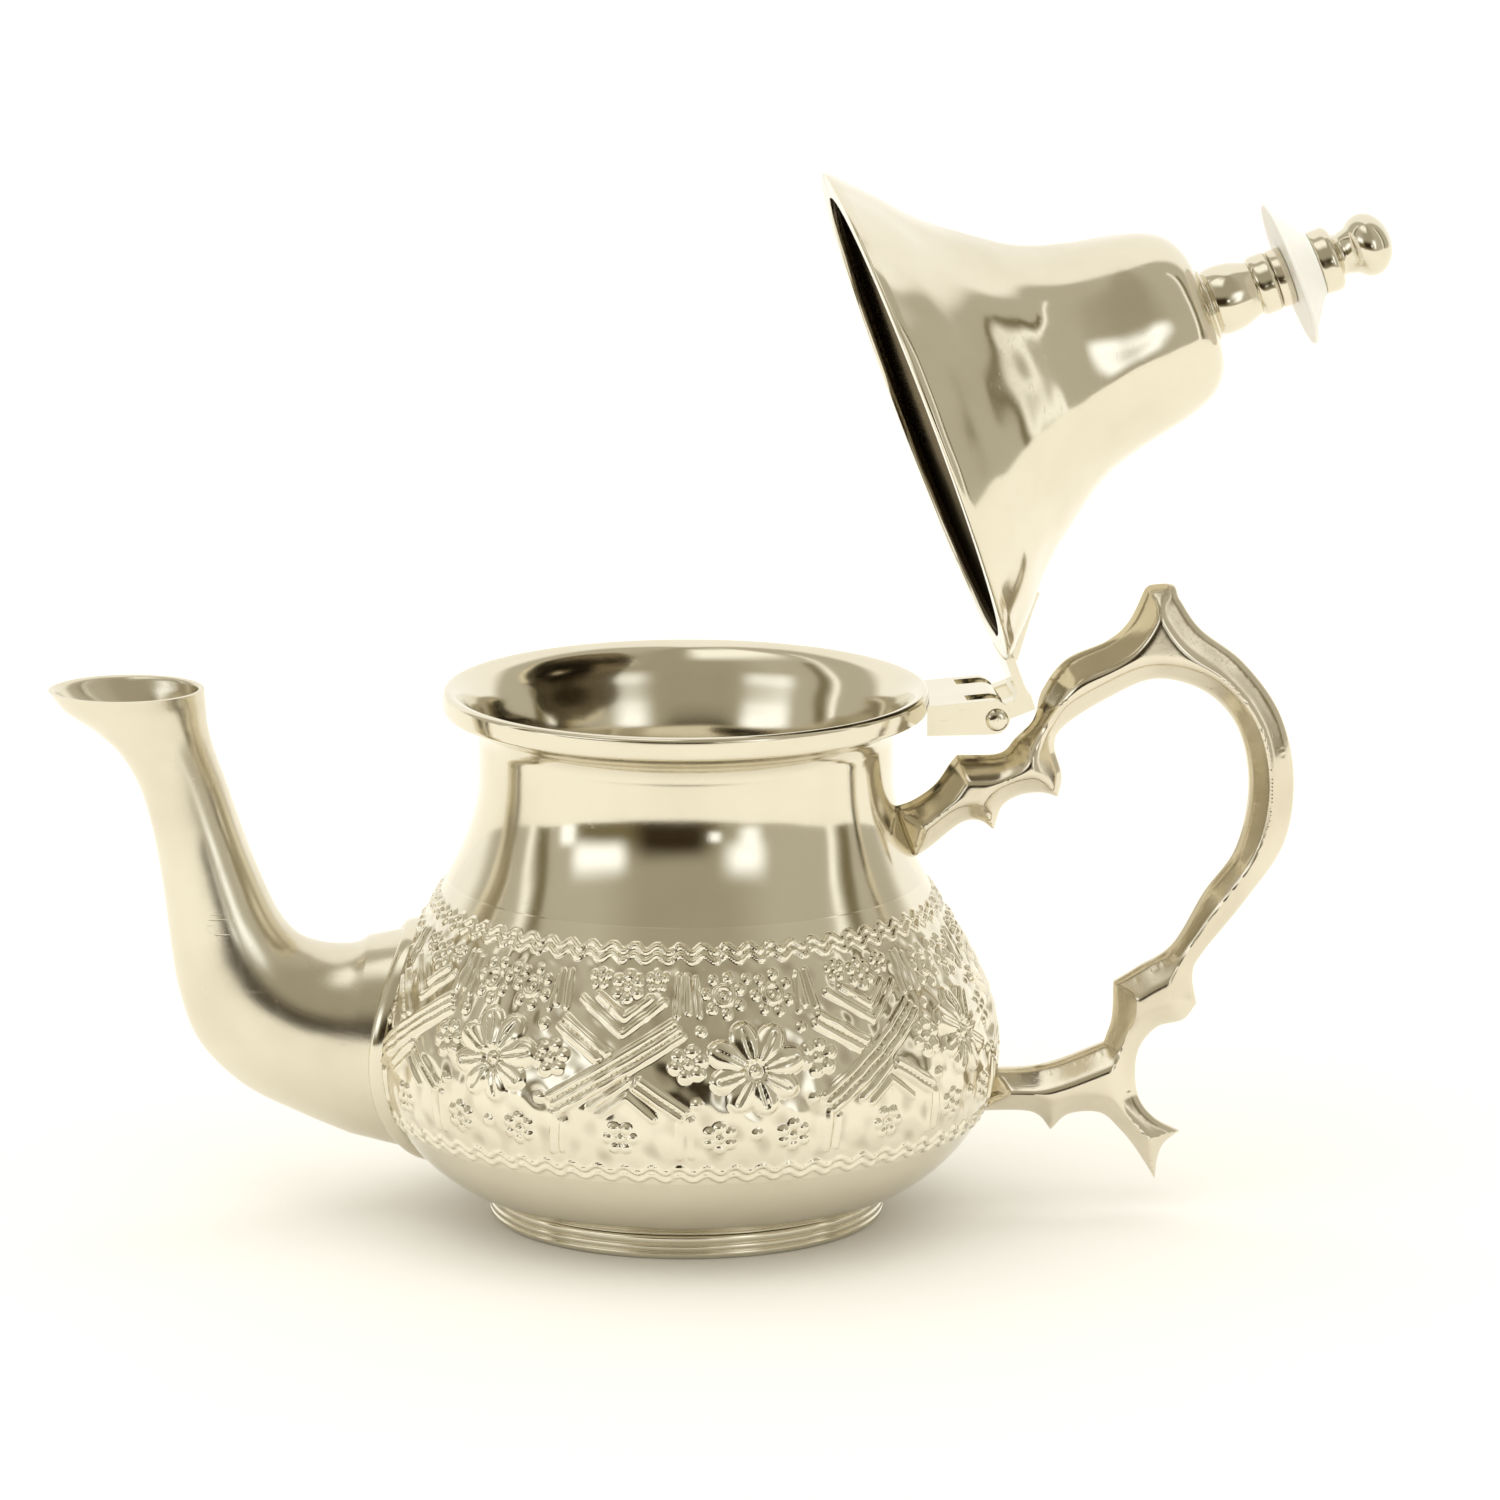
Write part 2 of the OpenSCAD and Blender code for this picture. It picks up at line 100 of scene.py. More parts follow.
# ---------------------------------------------------------------- curves
def smooth_run(points, steps):
    """A smooth curve through every point, with that many steps from one point to the next."""
    pts = [np.array(p, float) for p in points]
    first, last = 2 * pts[0] - pts[1], 2 * pts[-1] - pts[-2]
    chain = [first] + pts + [last]
    out = []
    for i in range(1, len(chain) - 2):
        a, b, c, d = chain[i - 1 : i + 3]
        for k in range(steps):
            t = k / steps
            out.append(0.5 * (2 * b + (c - a) * t + (2 * a - 5 * b + 4 * c - d) * t * t
                              + (3 * b - a - 3 * c + d) * t ** 3))
    out.append(pts[-1])
    return [tuple(p) for p in out]


def place_round(centre, radius, degrees):
    """The point at that distance and angle from a centre."""
    a = math.radians(degrees)
    return (centre[0] + radius * math.cos(a), centre[1] + radius * math.sin(a))


def arc(centre, radius, start, end, steps):
    """Points of an arc, its angles in degrees."""
    return [place_round(centre, radius, start + (end - start) * k / steps) for k in range(steps + 1)]


def run_along(x, y):
    """The length along a line up to each of its points."""
    return np.concatenate([[0], np.cumsum(np.hypot(np.diff(x), np.diff(y)))])


def side_step(points, distance):
    """The same line moved sideways, to its right-hand side."""
    pts = np.array(points, float)
    along = np.gradient(pts, axis=0)
    along /= np.linalg.norm(along, axis=1)[:, None]
    return [tuple(p) for p in pts + distance * np.stack([along[:, 1], -along[:, 0]], 1)]


def body_radius(z):
    """Radius of the outside of the pot at a height."""
    z = np.asarray(z, float)
    low = LOW_R + (BELLY_R - LOW_R) * np.sqrt(np.clip(1 - ((BELLY_Z - z) / LOW_H) ** 2, 0, 1))
    share = np.clip((z - BELLY_Z) / (NECK_Z - BELLY_Z), 0, 1)
    high = NECK_R + (BELLY_R - NECK_R) * (1 + np.cos(math.pi * share)) / 2
    return np.where(z < BELLY_Z, low, high)


def body_line(z_from, z_to, steps):
    """The pot's side from one height to another, in even steps along the sheet."""
    z = np.linspace(z_from, z_to, 2001)
    r = body_radius(z)
    run = run_along(r, z)
    even = np.interp(np.linspace(0, run[-1], steps + 1), run, z)
    return [(float(body_radius(v)), float(v)) for v in even]


# ---------------------------------------------------------------- modelling helpers
def only(piece):
    """That piece alone is selected and active."""
    bpy.ops.object.select_all(action="DESELECT")
    piece.select_set(True)
    bpy.context.view_layer.objects.active = piece


def start_edit(pick="SELECT"):
    """Edit mode, with everything selected or nothing."""
    bpy.ops.object.mode_set(mode="EDIT")
    bpy.ops.mesh.select_all(action=pick)


def end_edit():
    bpy.ops.object.mode_set(mode="OBJECT")


def vertex_places(piece):
    """The places of a piece's vertices, a row for each."""
    flat = np.empty(len(piece.data.vertices) * 3)
    piece.data.vertices.foreach_get("co", flat)
    return flat.reshape(-1, 3)


def tidy(piece, angle=35):
    """Doubles are merged, faces turned outwards, and the piece is shaded smooth up to an angle."""
    only(piece)
    start_edit()
    bpy.ops.mesh.remove_doubles(threshold=DOUBLES)
    bpy.ops.mesh.normals_make_consistent(inside=False)
    end_edit()
    bpy.ops.object.shade_smooth_by_angle(angle=math.radians(angle))
    return piece


def loop_of(name, points):
    """A closed ring of vertices bent to an outline given in metres."""
    bpy.ops.object.select_all(action="DESELECT")
    bpy.ops.mesh.primitive_circle_add(vertices=len(points), radius=1)
    piece = bpy.context.object
    piece.name = piece.data.name = name
    for vertex, point in zip(piece.data.vertices, points):
        vertex.co = point
    return piece


def turned(name, outline, steps=192, angle=35):
    """A solid turned about the pot's axis from its outline, [radius, height] in millimetres."""
    piece = loop_of(name, [(r * MM, 0, z * MM) for r, z in outline])
    start_edit()
    bpy.ops.mesh.spin(steps=steps, angle=TURN, center=(0, 0, 0), axis=(0, 0, 1))
    end_edit()
    return tidy(piece, angle)


def apply_modifier(piece, kind, **values):
    only(piece)
    modifier = piece.modifiers.new(kind.title(), kind)
    for key, value in values.items():
        setattr(modifier, key, value)
    bpy.ops.object.modifier_apply(modifier=modifier.name)
    return piece


def softened_copy(node, name, width, segments=2, angle=35, reshape=None):
    """A copy of a plain node with its doubles merged, reshaped, and its edges rounded."""
    source = frame["nodes"][node]
    piece = bpy.data.objects.new(name, source.data.copy())
    bpy.context.scene.collection.objects.link(piece)
    piece.data.materials.clear()
    only(piece)
    start_edit()
    bpy.ops.mesh.remove_doubles(threshold=2 * DOUBLES)
    bpy.ops.mesh.dissolve_limited(angle_limit=math.radians(1))
    end_edit()
    if reshape:
        reshape(piece)
    apply_modifier(piece, "BEVEL", width=width * MM, segments=segments, limit_method="ANGLE",
                   angle_limit=math.radians(30), harden_normals=False)
    tidy(piece, angle)
    return apply_modifier(piece, "WEIGHTED_NORMAL", keep_sharp=True)


def finish_piece(piece, material, body, slot, *nodes):
    """The piece gets its finish, rides on its body and stands for its nodes."""
    piece.data.materials.clear()
    piece.data.materials.append(material)
    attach(piece, body)
    if nodes:
        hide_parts(*nodes)
    return piece


def open_place():
    """From the shut lid, its hinge towards +x, to where the open lid holds it."""
    return (Matrix.Translation(PIN) @ Matrix.Rotation(LID_SWING, 4, PIN_AXIS)
            @ Matrix.Translation(-PIN) @ Matrix.Rotation(HINGE_TURN, 4, "Z"))


# ---------------------------------------------------------------- finishes
def new_group(name, inputs, outputs):
    group = bpy.data.node_groups.new(name, "ShaderNodeTree")
    for label, kind, value in inputs:
        socket = group.interface.new_socket(name=label, in_out="INPUT", socket_type=kind)
        if value is not None:
            socket.default_value = value
    for label, kind in outputs:
        group.interface.new_socket(name=label, in_out="OUTPUT", socket_type=kind)
    return group, group.nodes.new("NodeGroupInput"), group.nodes.new("NodeGroupOutput")


def math_node(tree, operation, a, b=None, clamp=False):
    node = tree.nodes.new("ShaderNodeMath")
    node.operation = operation
    node.use_clamp = clamp
    for socket, value in zip(node.inputs, (a, b)):
        if value is None:
            continue
        if isinstance(value, (int, float)):
            socket.default_value = value
        else:
            tree.links.new(value, socket)
    return node.outputs[0]


def noise_node(tree, where, scale, detail=3.0, roughness=0.5):
    node = tree.nodes.new("ShaderNodeTexNoise")
    tree.links.new(where, node.inputs["Vector"])
    node.inputs["Scale"].default_value = scale
    node.inputs["Detail"].default_value = detail
    node.inputs["Roughness"].default_value = roughness
    return node.outputs["Fac"]


def ramp_node(tree, value, stops):
    node = tree.nodes.new("ShaderNodeValToRGB")
    tree.links.new(value, node.inputs[0])
    ramp = node.color_ramp
    while len(ramp.elements) < len(stops):
        ramp.elements.new(0.5)
    for element, (place, colour) in zip(ramp.elements, stops):
        element.position = place
        element.color = (*colour, 1) if len(colour) == 3 else colour
    return node.outputs["Color"]


def stretch_node(tree, where, scale, turn=(0, 0, 0)):
    node = tree.nodes.new("ShaderNodeMapping")
    tree.links.new(where, node.inputs["Vector"])
    node.inputs["Scale"].default_value = scale
    node.inputs["Rotation"].default_value = turn
    return node.outputs["Vector"]


def mix_node(tree, share, first, second):
    """Blends two colours, each a plain one or another node's."""
    node = tree.nodes.new("ShaderNodeMix")
    node.data_type = "RGBA"
    tree.links.new(share, node.inputs["Factor"])
    for label, value in (("A", first), ("B", second)):
        if isinstance(value, tuple):
            node.inputs[label].default_value = (*value, 1)
        else:
            tree.links.new(value, node.inputs[label])
    return node.outputs["Result"]


def effect_node(tree, group, place, **amounts):
    """An effect laid over a place, with this finish's own amounts."""
    node = tree.nodes.new("ShaderNodeGroup")
    node.node_tree = group
    tree.links.new(place, node.inputs["Place"])
    for label, amount in amounts.items():
        node.inputs[label].default_value = amount
    return node


def fine_relief(tree, shader, height, depth):
    """Relief too fine to model, that deep in millimetres."""
    relief = tree.nodes.new("ShaderNodeBump")
    relief.inputs["Strength"].default_value = 1.0
    relief.inputs["Distance"].default_value = depth * MM
    tree.links.new(height, relief.inputs["Height"])
    tree.links.new(relief.outputs["Normal"], shader.inputs["Normal"])


def new_finish(name):
    """A new material with its node tree, its shader and the place on the piece."""
    material = bpy.data.materials.new(name)
    material.use_nodes = True
    tree = material.node_tree
    where = tree.nodes.new("ShaderNodeTexCoord").outputs["Object"]
    return material, tree, tree.nodes["Principled BSDF"], where


def plated_wear_group():
    """Handling wear of plated metal: cloudy patches, hairline scratches and small casting pits."""
    group, inside, outside = new_group(
        "plated_wear",
        [("Place", "NodeSocketVector", None), ("Cloud", "NodeSocketFloat", 0.5),
         ("Scratch", "NodeSocketFloat", 0.5), ("Grain", "NodeSocketFloat", 0.0),
         ("Pits", "NodeSocketFloat", 0.0), ("Dents", "NodeSocketFloat", 0.0)],
        [("Mask", "NodeSocketFloat"), ("Roughness", "NodeSocketFloat"), ("Height", "NodeSocketFloat"),
         ("Pit", "NodeSocketFloat")])
    place = inside.outputs["Place"]
    cloud = noise_node(group, place, 55, 4, 0.55)
    fine = noise_node(group, place, 900, 3, 0.6)
    haze = math_node(group, "MULTIPLY", math_node(group, "SUBTRACT", cloud, 0.42, True), 2.2, True)
    scratch = None
    for turn, scale in (((0.4, 0.1, 0.9), (40, 2600, 2600)), ((1.2, 0.7, -0.5), (2600, 40, 2600)),
                        ((-0.6, 1.1, 0.3), (2600, 2600, 40))):
        line = noise_node(group, stretch_node(group, place, scale, turn), 1.0, 2, 0.5)
        line = math_node(group, "MULTIPLY", math_node(group, "SUBTRACT", line, 0.66, True), 6, True)
        scratch = line if scratch is None else math_node(group, "MAXIMUM", scratch, line)
    scratch = math_node(group, "MULTIPLY", scratch, inside.outputs["Scratch"])
    cells = group.nodes.new("ShaderNodeTexVoronoi")
    group.links.new(place, cells.inputs["Vector"])
    cells.inputs["Scale"].default_value = 75
    pit = math_node(group, "LESS_THAN", cells.outputs["Distance"], 0.026)
    chance = group.nodes.new("ShaderNodeSeparateColor")
    group.links.new(cells.outputs["Color"], chance.inputs[0])
    pit = math_node(group, "MULTIPLY", pit, math_node(group, "LESS_THAN", chance.outputs[0],
                                                      inside.outputs["Pits"]))
    mask = math_node(group, "MULTIPLY", haze, inside.outputs["Cloud"], True)
    rough = math_node(group, "ADD", math_node(group, "MULTIPLY", mask, 0.16),
                      math_node(group, "MULTIPLY", scratch, 0.12))
    grain = math_node(group, "MULTIPLY", fine, inside.outputs["Grain"])
    rough = math_node(group, "ADD", rough, math_node(group, "MULTIPLY", grain, 0.2))
    height = math_node(group, "SUBTRACT", grain, math_node(group, "MULTIPLY", scratch, 0.35))
    height = math_node(group, "ADD", height, math_node(group, "MULTIPLY", cloud, 0.6))
    dents = noise_node(group, place, 70, 1, 0.4)
    height = math_node(group, "ADD", height, math_node(group, "MULTIPLY", dents, inside.outputs["Dents"]))
    height = math_node(group, "SUBTRACT", height, math_node(group, "MULTIPLY", pit, 3.0))
    for label, value in (("Mask", mask), ("Roughness", rough), ("Height", height), ("Pit", pit)):
        group.links.new(value, outside.inputs[label])
    return group


def brushing_group():
    """Brush lines that run along one direction of the piece's own map."""
    group, inside, outside = new_group(
        "brush_lines", [("Place", "NodeSocketVector", None), ("Amount", "NodeSocketFloat", 0.5)],
        [("Roughness", "NodeSocketFloat"), ("Height", "NodeSocketFloat")])
    lines = noise_node(group, stretch_node(group, inside.outputs["Place"], (1.5, 130, 1)), 1, 4, 0.65)
    broad = noise_node(group, stretch_node(group, inside.outputs["Place"], (5, 22, 1)), 1, 2, 0.5)
    both = math_node(group, "ADD", math_node(group, "MULTIPLY", lines, 0.7),
                     math_node(group, "MULTIPLY", broad, 0.3))
    amount = math_node(group, "MULTIPLY", both, inside.outputs["Amount"])
    group.links.new(math_node(group, "MULTIPLY", amount, 0.35), outside.inputs["Roughness"])
    group.links.new(amount, outside.inputs["Height"])
    return group


WEAR = plated_wear_group()
BRUSH = brushing_group()
PIT_BROWN = (0.05, 0.035, 0.02)


def plated(name, bright, dull, roughness, cloud=0.5, scratch=0.5, grain=0.0, pits=0.0,
           depth=0.02, dents=0.0, brushed=0.0, hollow_shade_colour=None):
    """Warm silver-coloured plate: bright where it is rubbed and duller in cloudy patches. Given a dark
    colour, it also gets painted shade in the sunk hollows of the relief.
    """
    material, tree, shader, where = new_finish(name)
    shader.inputs["Metallic"].default_value = 1.0
    shader.inputs["IOR"].default_value = 2.2
    wear = effect_node(tree, WEAR, where, Cloud=cloud, Scratch=scratch, Grain=grain, Pits=pits,
                       Dents=dents)
    colour = ramp_node(tree, wear.outputs["Mask"], [(0.0, bright), (1.0, dull)])
    # Painted shade: the sunk hollows of the relief are darkened towards the given dark colour.
    if hollow_shade_colour is not None:
        hollow_shade = tree.nodes.new("ShaderNodeAttribute")
        hollow_shade.attribute_name = "hollow_shade"
        share = math_node(tree, "MULTIPLY", hollow_shade.outputs["Fac"], 0.8, True)
        colour = mix_node(tree, share, colour, hollow_shade_colour)
    if pits:
        colour = mix_node(tree, wear.outputs["Pit"], colour, PIT_BROWN)
    tree.links.new(colour, shader.inputs["Base Color"])
    rough = math_node(tree, "ADD", wear.outputs["Roughness"], roughness, True)
    height = wear.outputs["Height"]
    if brushed:
        lengthwise = tree.nodes.new("ShaderNodeUVMap")
        lengthwise.uv_map = "lengthwise"
        brush = effect_node(tree, BRUSH, lengthwise.outputs["UV"], Amount=brushed)
        rough = math_node(tree, "ADD", rough, brush.outputs["Roughness"], True)
        height = math_node(tree, "ADD", height, brush.outputs["Height"])
    tree.links.new(rough, shader.inputs["Roughness"])
    fine_relief(tree, shader, height, depth)
    return material


SILVER = (0.755, 0.71, 0.585)
SILVER_DULL = (0.63, 0.58, 0.455)
polished_plate = plated("polished_plate", SILVER, SILVER_DULL, 0.10, cloud=0.45, scratch=0.4,
                        depth=0.02, dents=12.0)
lid_plate = plated("lid_plate", SILVER, SILVER_DULL, 0.10, cloud=0.6, scratch=0.6, depth=0.02,
                   dents=55.0)
lid_inside = plated("lid_inside", (0.20, 0.165, 0.11), (0.12, 0.095, 0.06), 0.22, cloud=0.8,
                    scratch=0.5, grain=0.4, depth=0.04)
# The dark brown given below is painted shade for the sunk punches of the chasing.
chased_plate = plated("chased_plate", (0.80, 0.755, 0.63), SILVER_DULL, 0.11, cloud=0.5, scratch=0.4,
                      depth=0.02, dents=9.0, hollow_shade_colour=(0.20, 0.135, 0.07))
brushed_plate = plated("brushed_plate", SILVER, (0.60, 0.54, 0.42), 0.10, cloud=0.7,
                       scratch=0.8, depth=0.03, dents=8.0, brushed=0.4)
cast_plate = plated("cast_plate", (0.76, 0.705, 0.58), (0.54, 0.475, 0.35), 0.11, cloud=0.7,
                    scratch=0.5, grain=0.12, pits=0.10, depth=0.04, dents=9.0)
dull_plate = plated("dull_plate", (0.62, 0.57, 0.46), (0.42, 0.37, 0.28), 0.26, cloud=1.0,
                    scratch=0.6, grain=0.6, depth=0.05)


def milk_plastic():
    """Moulded milk-white plastic, satin and slightly translucent, with faint yellowing."""
    material, tree, shader, where = new_finish("milk_plastic")
    shader.inputs["IOR"].default_value = 1.5
    shader.inputs["Subsurface Weight"].default_value = 0.15
    shader.inputs["Subsurface Scale"].default_value = 1.5 * MM
    patches = noise_node(tree, where, 160, 3, 0.5)
    tree.links.new(ramp_node(tree, patches, [(0.3, (0.95, 0.945, 0.92)), (0.75, (0.92, 0.91, 0.86))]),
                   shader.inputs["Base Color"])
    tree.links.new(math_node(tree, "ADD", math_node(tree, "MULTIPLY", patches, 0.2), 0.28),
                   shader.inputs["Roughness"])
    fine_relief(tree, shader, noise_node(tree, where, 1400, 2, 0.5), 0.02)
    return material


insulator_plastic = milk_plastic()


# ---------------------------------------------------------------- the pot
def rim_outline():
    """From the cove under the rim, round its band, and down the flared inside."""
    cove = smooth_run([(NECK_R, RIM_TOP - 9.4), (NECK_R + 0.1, RIM_TOP - 7.6),
                       (NECK_R + 1.3, RIM_TOP - 5.6), (RIM_R - 2.2, RIM_TOP - BAND_H - 0.75),
                       (RIM_R - 0.9, RIM_TOP - BAND_H - 0.45)], 8)
    under = smooth_run([(RIM_R - 0.9, RIM_TOP - BAND_H - 0.45), (RIM_R - 0.25, RIM_TOP - BAND_H - 0.1),
                        (RIM_R, RIM_TOP - BAND_H + 0.5)], 6)
    lip = arc((RIM_R - 0.8, RIM_TOP - 0.8), 0.8, 0, 100, 12)
    flare = smooth_run([lip[-1], (RIM_R - 1.8, RIM_TOP - 0.3), (RIM_R - 3.2, RIM_TOP - 1.4),
                        (RIM_R - 4.6, RIM_TOP - 3.5), (NECK_R + 0.1, RIM_TOP - 6.4),
                        (NECK_R - 1.0, RIM_TOP - 9.6), (NECK_R - 1.9, RIM_TOP - 13.0),
                        (NECK_R - 2.3, RIM_TOP - 16.0)], 10)
    return cove + under[1:] + lip + flare[1:]


def make_body():
    low = body_line(FOOT_H, BELT_LOW, 10)
    seat = [(r - BELT_SINK, z) for r, z in body_line(BELT_LOW, BELT_TOP, 24)]
    high = body_line(BELT_TOP, NECK_Z, 14) + [(NECK_R, RIM_TOP - 11.5)]
    outside = low + seat + high
    plain = body_line(FOOT_H, RIM_TOP - 20.5, 60)
    inside = side_step(plain, -WALL)[::-1]
    outline = ([(FOOT_R - 5, FOOT_H)] + outside + rim_outline() + inside + [(FOOT_R - 5, FOOT_H + WALL)])
    piece = turned("pot_body", outline, steps=288, angle=40)
    return finish_piece(piece, polished_plate, "pot", "bright_plate", "body_shell")


# ---------------------------------------------------------------- the chased belt
REPEATS = 7
PANEL = 360 / REPEATS
PANEL_TURN = -12.5
MM_PER_DEGREE = 0.82
WAVES = 70
SCROLL_LOBES = 7
ROSE_PETALS = 8
BELT_ROWS = 152
BELT_STEPS = 560


def bump(gap, half, height):
    """Cross-section of a raised line: round on top and soft at both feet."""
    t = np.clip(1 - (gap / half) ** 2, 0, 1)
    return height * t * t * (3 - 2 * t)


def line_gap(x, y, start, end):
    """Distance from the stroke between two points."""
    ax, ay = start
    dx, dy = end[0] - ax, end[1] - ay
    t = np.clip(((x - ax) * dx + (y - ay) * dy) / (dx * dx + dy * dy), 0, 1)
    return np.hypot(x - ax - t * dx, y - ay - t * dy)


def stroke(x, y, start, end, half=0.68, height=0.52):
    return bump(line_gap(x, y, start, end), half, height)


def strap(x, y, start, end, ridges, spacing=1.35, half=0.74, height=0.6):
    """Parallel ridges side by side from one point to another."""
    dx, dy = end[0] - start[0], end[1] - start[1]
    length = math.hypot(dx, dy)
    nx, ny = -dy / length, dx / length
    out = np.zeros_like(x)
    for k in range(ridges):
        off = (k - (ridges - 1) / 2) * spacing
        shift = (nx * off, ny * off)
        out = np.maximum(out, stroke(x, y, (start[0] + shift[0], start[1] + shift[1]),
                                     (end[0] + shift[0], end[1] + shift[1]), half, height))
    return out


def bead(x, y, centre, radius, height):
    return bump(np.hypot(x - centre[0], y - centre[1]), radius, height)


def ring(x, y, centre, radius, half=0.5, height=0.45):
    return bump(np.abs(np.hypot(x - centre[0], y - centre[1]) - radius), half, height)


def petal(x, y, centre, turn, inner, outer, half, height, vein=0.3):
    """A domed drop-shaped petal with a sunk vein."""
    c, s = math.cos(math.radians(turn)), math.sin(math.radians(turn))
    along = (x - centre[0]) * c + (y - centre[1]) * s
    across = -(x - centre[0]) * s + (y - centre[1]) * c
    t = (along - inner) / (outer - inner)
    inside = (t > 0) & (t < 1)
    t = np.clip(t, 0, 1)
    width = half * np.clip(np.sin(math.pi * t ** 1.6), 0, 1) ** 0.55 + 1e-6
    q = across / width
    dome = np.where(inside, np.clip(1 - q * q, 0, 1), 0)
    out = height * np.sqrt(dome) * np.clip(np.minimum(t, 1 - t) * 8, 0, 1) ** 0.5
    if vein:
        sunk = bump(np.abs(across), 0.42, vein) * np.clip((0.86 - t) * 8, 0, 1) * inside
        out = out - sunk * (dome > 0.05)
    return out


def floret(x, y, centre, radius, petals, turn=0.0, height=0.5):
    """A small flower: round petals about a bead."""
    out = bead(x, y, centre, radius * 0.32, height * 1.1)
    for k in range(petals):
        place = place_round(centre, radius * 0.66, turn + 360 * k / petals)
        out = np.maximum(out, bead(x, y, place, radius * 0.40, height))
    return out


def scroll_flower(x, y, centre, radius, turn):
    """A curled flower: an open ring with a bead in it and small lobes outside."""
    out = np.maximum(ring(x, y, centre, radius * 0.45), bead(x, y, centre, 0.6, 0.45))
    for k in range(SCROLL_LOBES):
        place = place_round(centre, radius * 0.92, turn + 360 * k / SCROLL_LOBES)
        out = np.maximum(out, bead(x, y, place, 1.0, 0.45))
    return out


def cross_panel(x, y):
    """Two straps laid in a cross, chevrons and a floret above and below it."""
    over = strap(x, y, (-9.6, -8.2), (9.2, 4.6), 3)
    under = np.maximum(strap(x, y, (-9.8, 5.0), (-1.2, -0.9), 2, 1.6, 0.85),
                       strap(x, y, (3.2, -4.2), (10.0, -9.0), 2, 1.3))
    band = np.abs((x + 9.6) * 0.563 - (y + 8.2) * 0.827)
    under = under * np.clip((band - 2.2) / 0.4, 0, 1)
    out = np.maximum(over, under)
    for start, end in (((1.8, -3.8), (-3.8, -8.2)), ((1.6, -6.2), (-2.2, -9.2)),
                       ((1.6, -6.2), (5.6, -9.8)),
                       ((0.4, 3.6), (-7.2, 9.2)), ((0.4, 3.6), (7.0, 9.0)),
                       ((0.5, 6.2), (-4.2, 9.8)), ((0.5, 6.2), (4.6, 9.6))):
        out = np.maximum(out, stroke(x, y, start, end))
    out = np.maximum(out, floret(x, y, (0.6, 11.4), 2.9, 6, 30))
    for side in (-1, 1):
        out = np.maximum(out, floret(x, y, (0.6 + 5.0 * side, 12.6), 2.0, 5, 90))
    out = np.maximum(out, floret(x, y, (0.7, -13.0), 2.7, 6, 0))
    for start, end in (((9.0, 6.8), (9.4, 13.2)), ((10.9, 7.4), (10.8, 13.4)), ((12.6, 8.0), (12.2, 12.8)),
                       ((-9.6, 7.4), (-10.2, 13.2)), ((-11.5, 7.8), (-11.8, 13.0)),
                       ((-9.6, -9.6), (-10.0, -16.0)), ((-8.0, -10.6), (-8.4, -15.6)),
                       ((9.4, -10.4), (9.6, -16.0)), ((11.1, -9.8), (11.3, -15.8))):
        out = np.maximum(out, stroke(x, y, start, end, 0.62, 0.42))
    for centre in ((0.7, -10.2), (-3.0, -12.6), (4.4, -12.6), (10.4, -7.0), (-2.6, 7.6), (3.8, 7.6)):
        out = out - bead(x, y, centre, 0.75, 0.5)
    return out


def rose_panel(x, y):
    """A veined rose of eight petals, with scroll flowers above and florets round it."""
    out = np.zeros_like(x)
    middle = (0.0, 0.0)
    for k in range(ROSE_PETALS):
        outer, half, height = (8.2, 2.3, 0.85) if k < ROSE_PETALS / 2 else (7.2, 2.0, 0.7)
        out = np.maximum(out, petal(x, y, middle, 15 + 360 * k / ROSE_PETALS, 0.8, outer, half, height))
    out = out - ring(x, y, middle, 1.3, 0.4, 0.3)
    out = np.maximum(out, bead(x, y, middle, 0.9, 0.6))
    for side, turn in ((-1, 20), (1, 80)):
        out = np.maximum(out, scroll_flower(x, y, (4.2 * side, 12.3), 3.3, turn))
        out = np.maximum(out, floret(x, y, (10.2 * side, 1.4), 3.1, 6, 15))
        out = np.maximum(out, stroke(x, y, (8.4 * side, 9.2), (8.9 * side, 14.4), 0.62, 0.42))
        out = np.maximum(out, floret(x, y, (5.6 * side, -10.6), 2.7, 6, 30))
        out = np.maximum(out, bead(x, y, (9.0 * side, -5.0), 1.0, 0.45))
        out = np.maximum(out, bead(x, y, (8.2 * side, 6.6), 1.0, 0.45))
    out = np.maximum(out, bead(x, y, (0.0, 15.0), 1.0, 0.45))
    out = np.maximum(out, bead(x, y, (0.0, -10.2), 1.2, 0.5))
    return out


def wave_border(degrees, s, level, swing, gap, height):
    """Two wavy lines, one above the other, in short punches."""
    wave = swing * np.sin(np.radians(degrees * WAVES))
    lean = 1 / np.sqrt(1 + (swing * WAVES / 47 * np.cos(np.radians(degrees * WAVES))) ** 2)
    upper = bump(np.abs(s - level - gap / 2 - wave) * lean, 0.5, height)
    lower = bump(np.abs(s - level + gap / 2 - wave) * lean, 0.5, height)
    punch = np.abs((degrees * WAVES / 720) % 1 - 0.5) * 2
    return np.maximum(upper, lower) * np.clip((1 - punch) * 9, 0.25, 1)


def uneven_ground(angle, s):
    """Slow swell of the sheet between the punches."""
    swell = (np.sin(37 * angle + 0.9 * s) + np.sin(53 * angle - 0.7 * s + 1.3)
             + np.sin(29 * angle + 1.4 * s + 2.1) + np.sin(71 * angle + 0.35 * s + 0.4))
    return 0.045 * swell * np.clip((26.5 - s) / 2, 0, 1) * np.clip((s + 8) / 2, 0, 1)


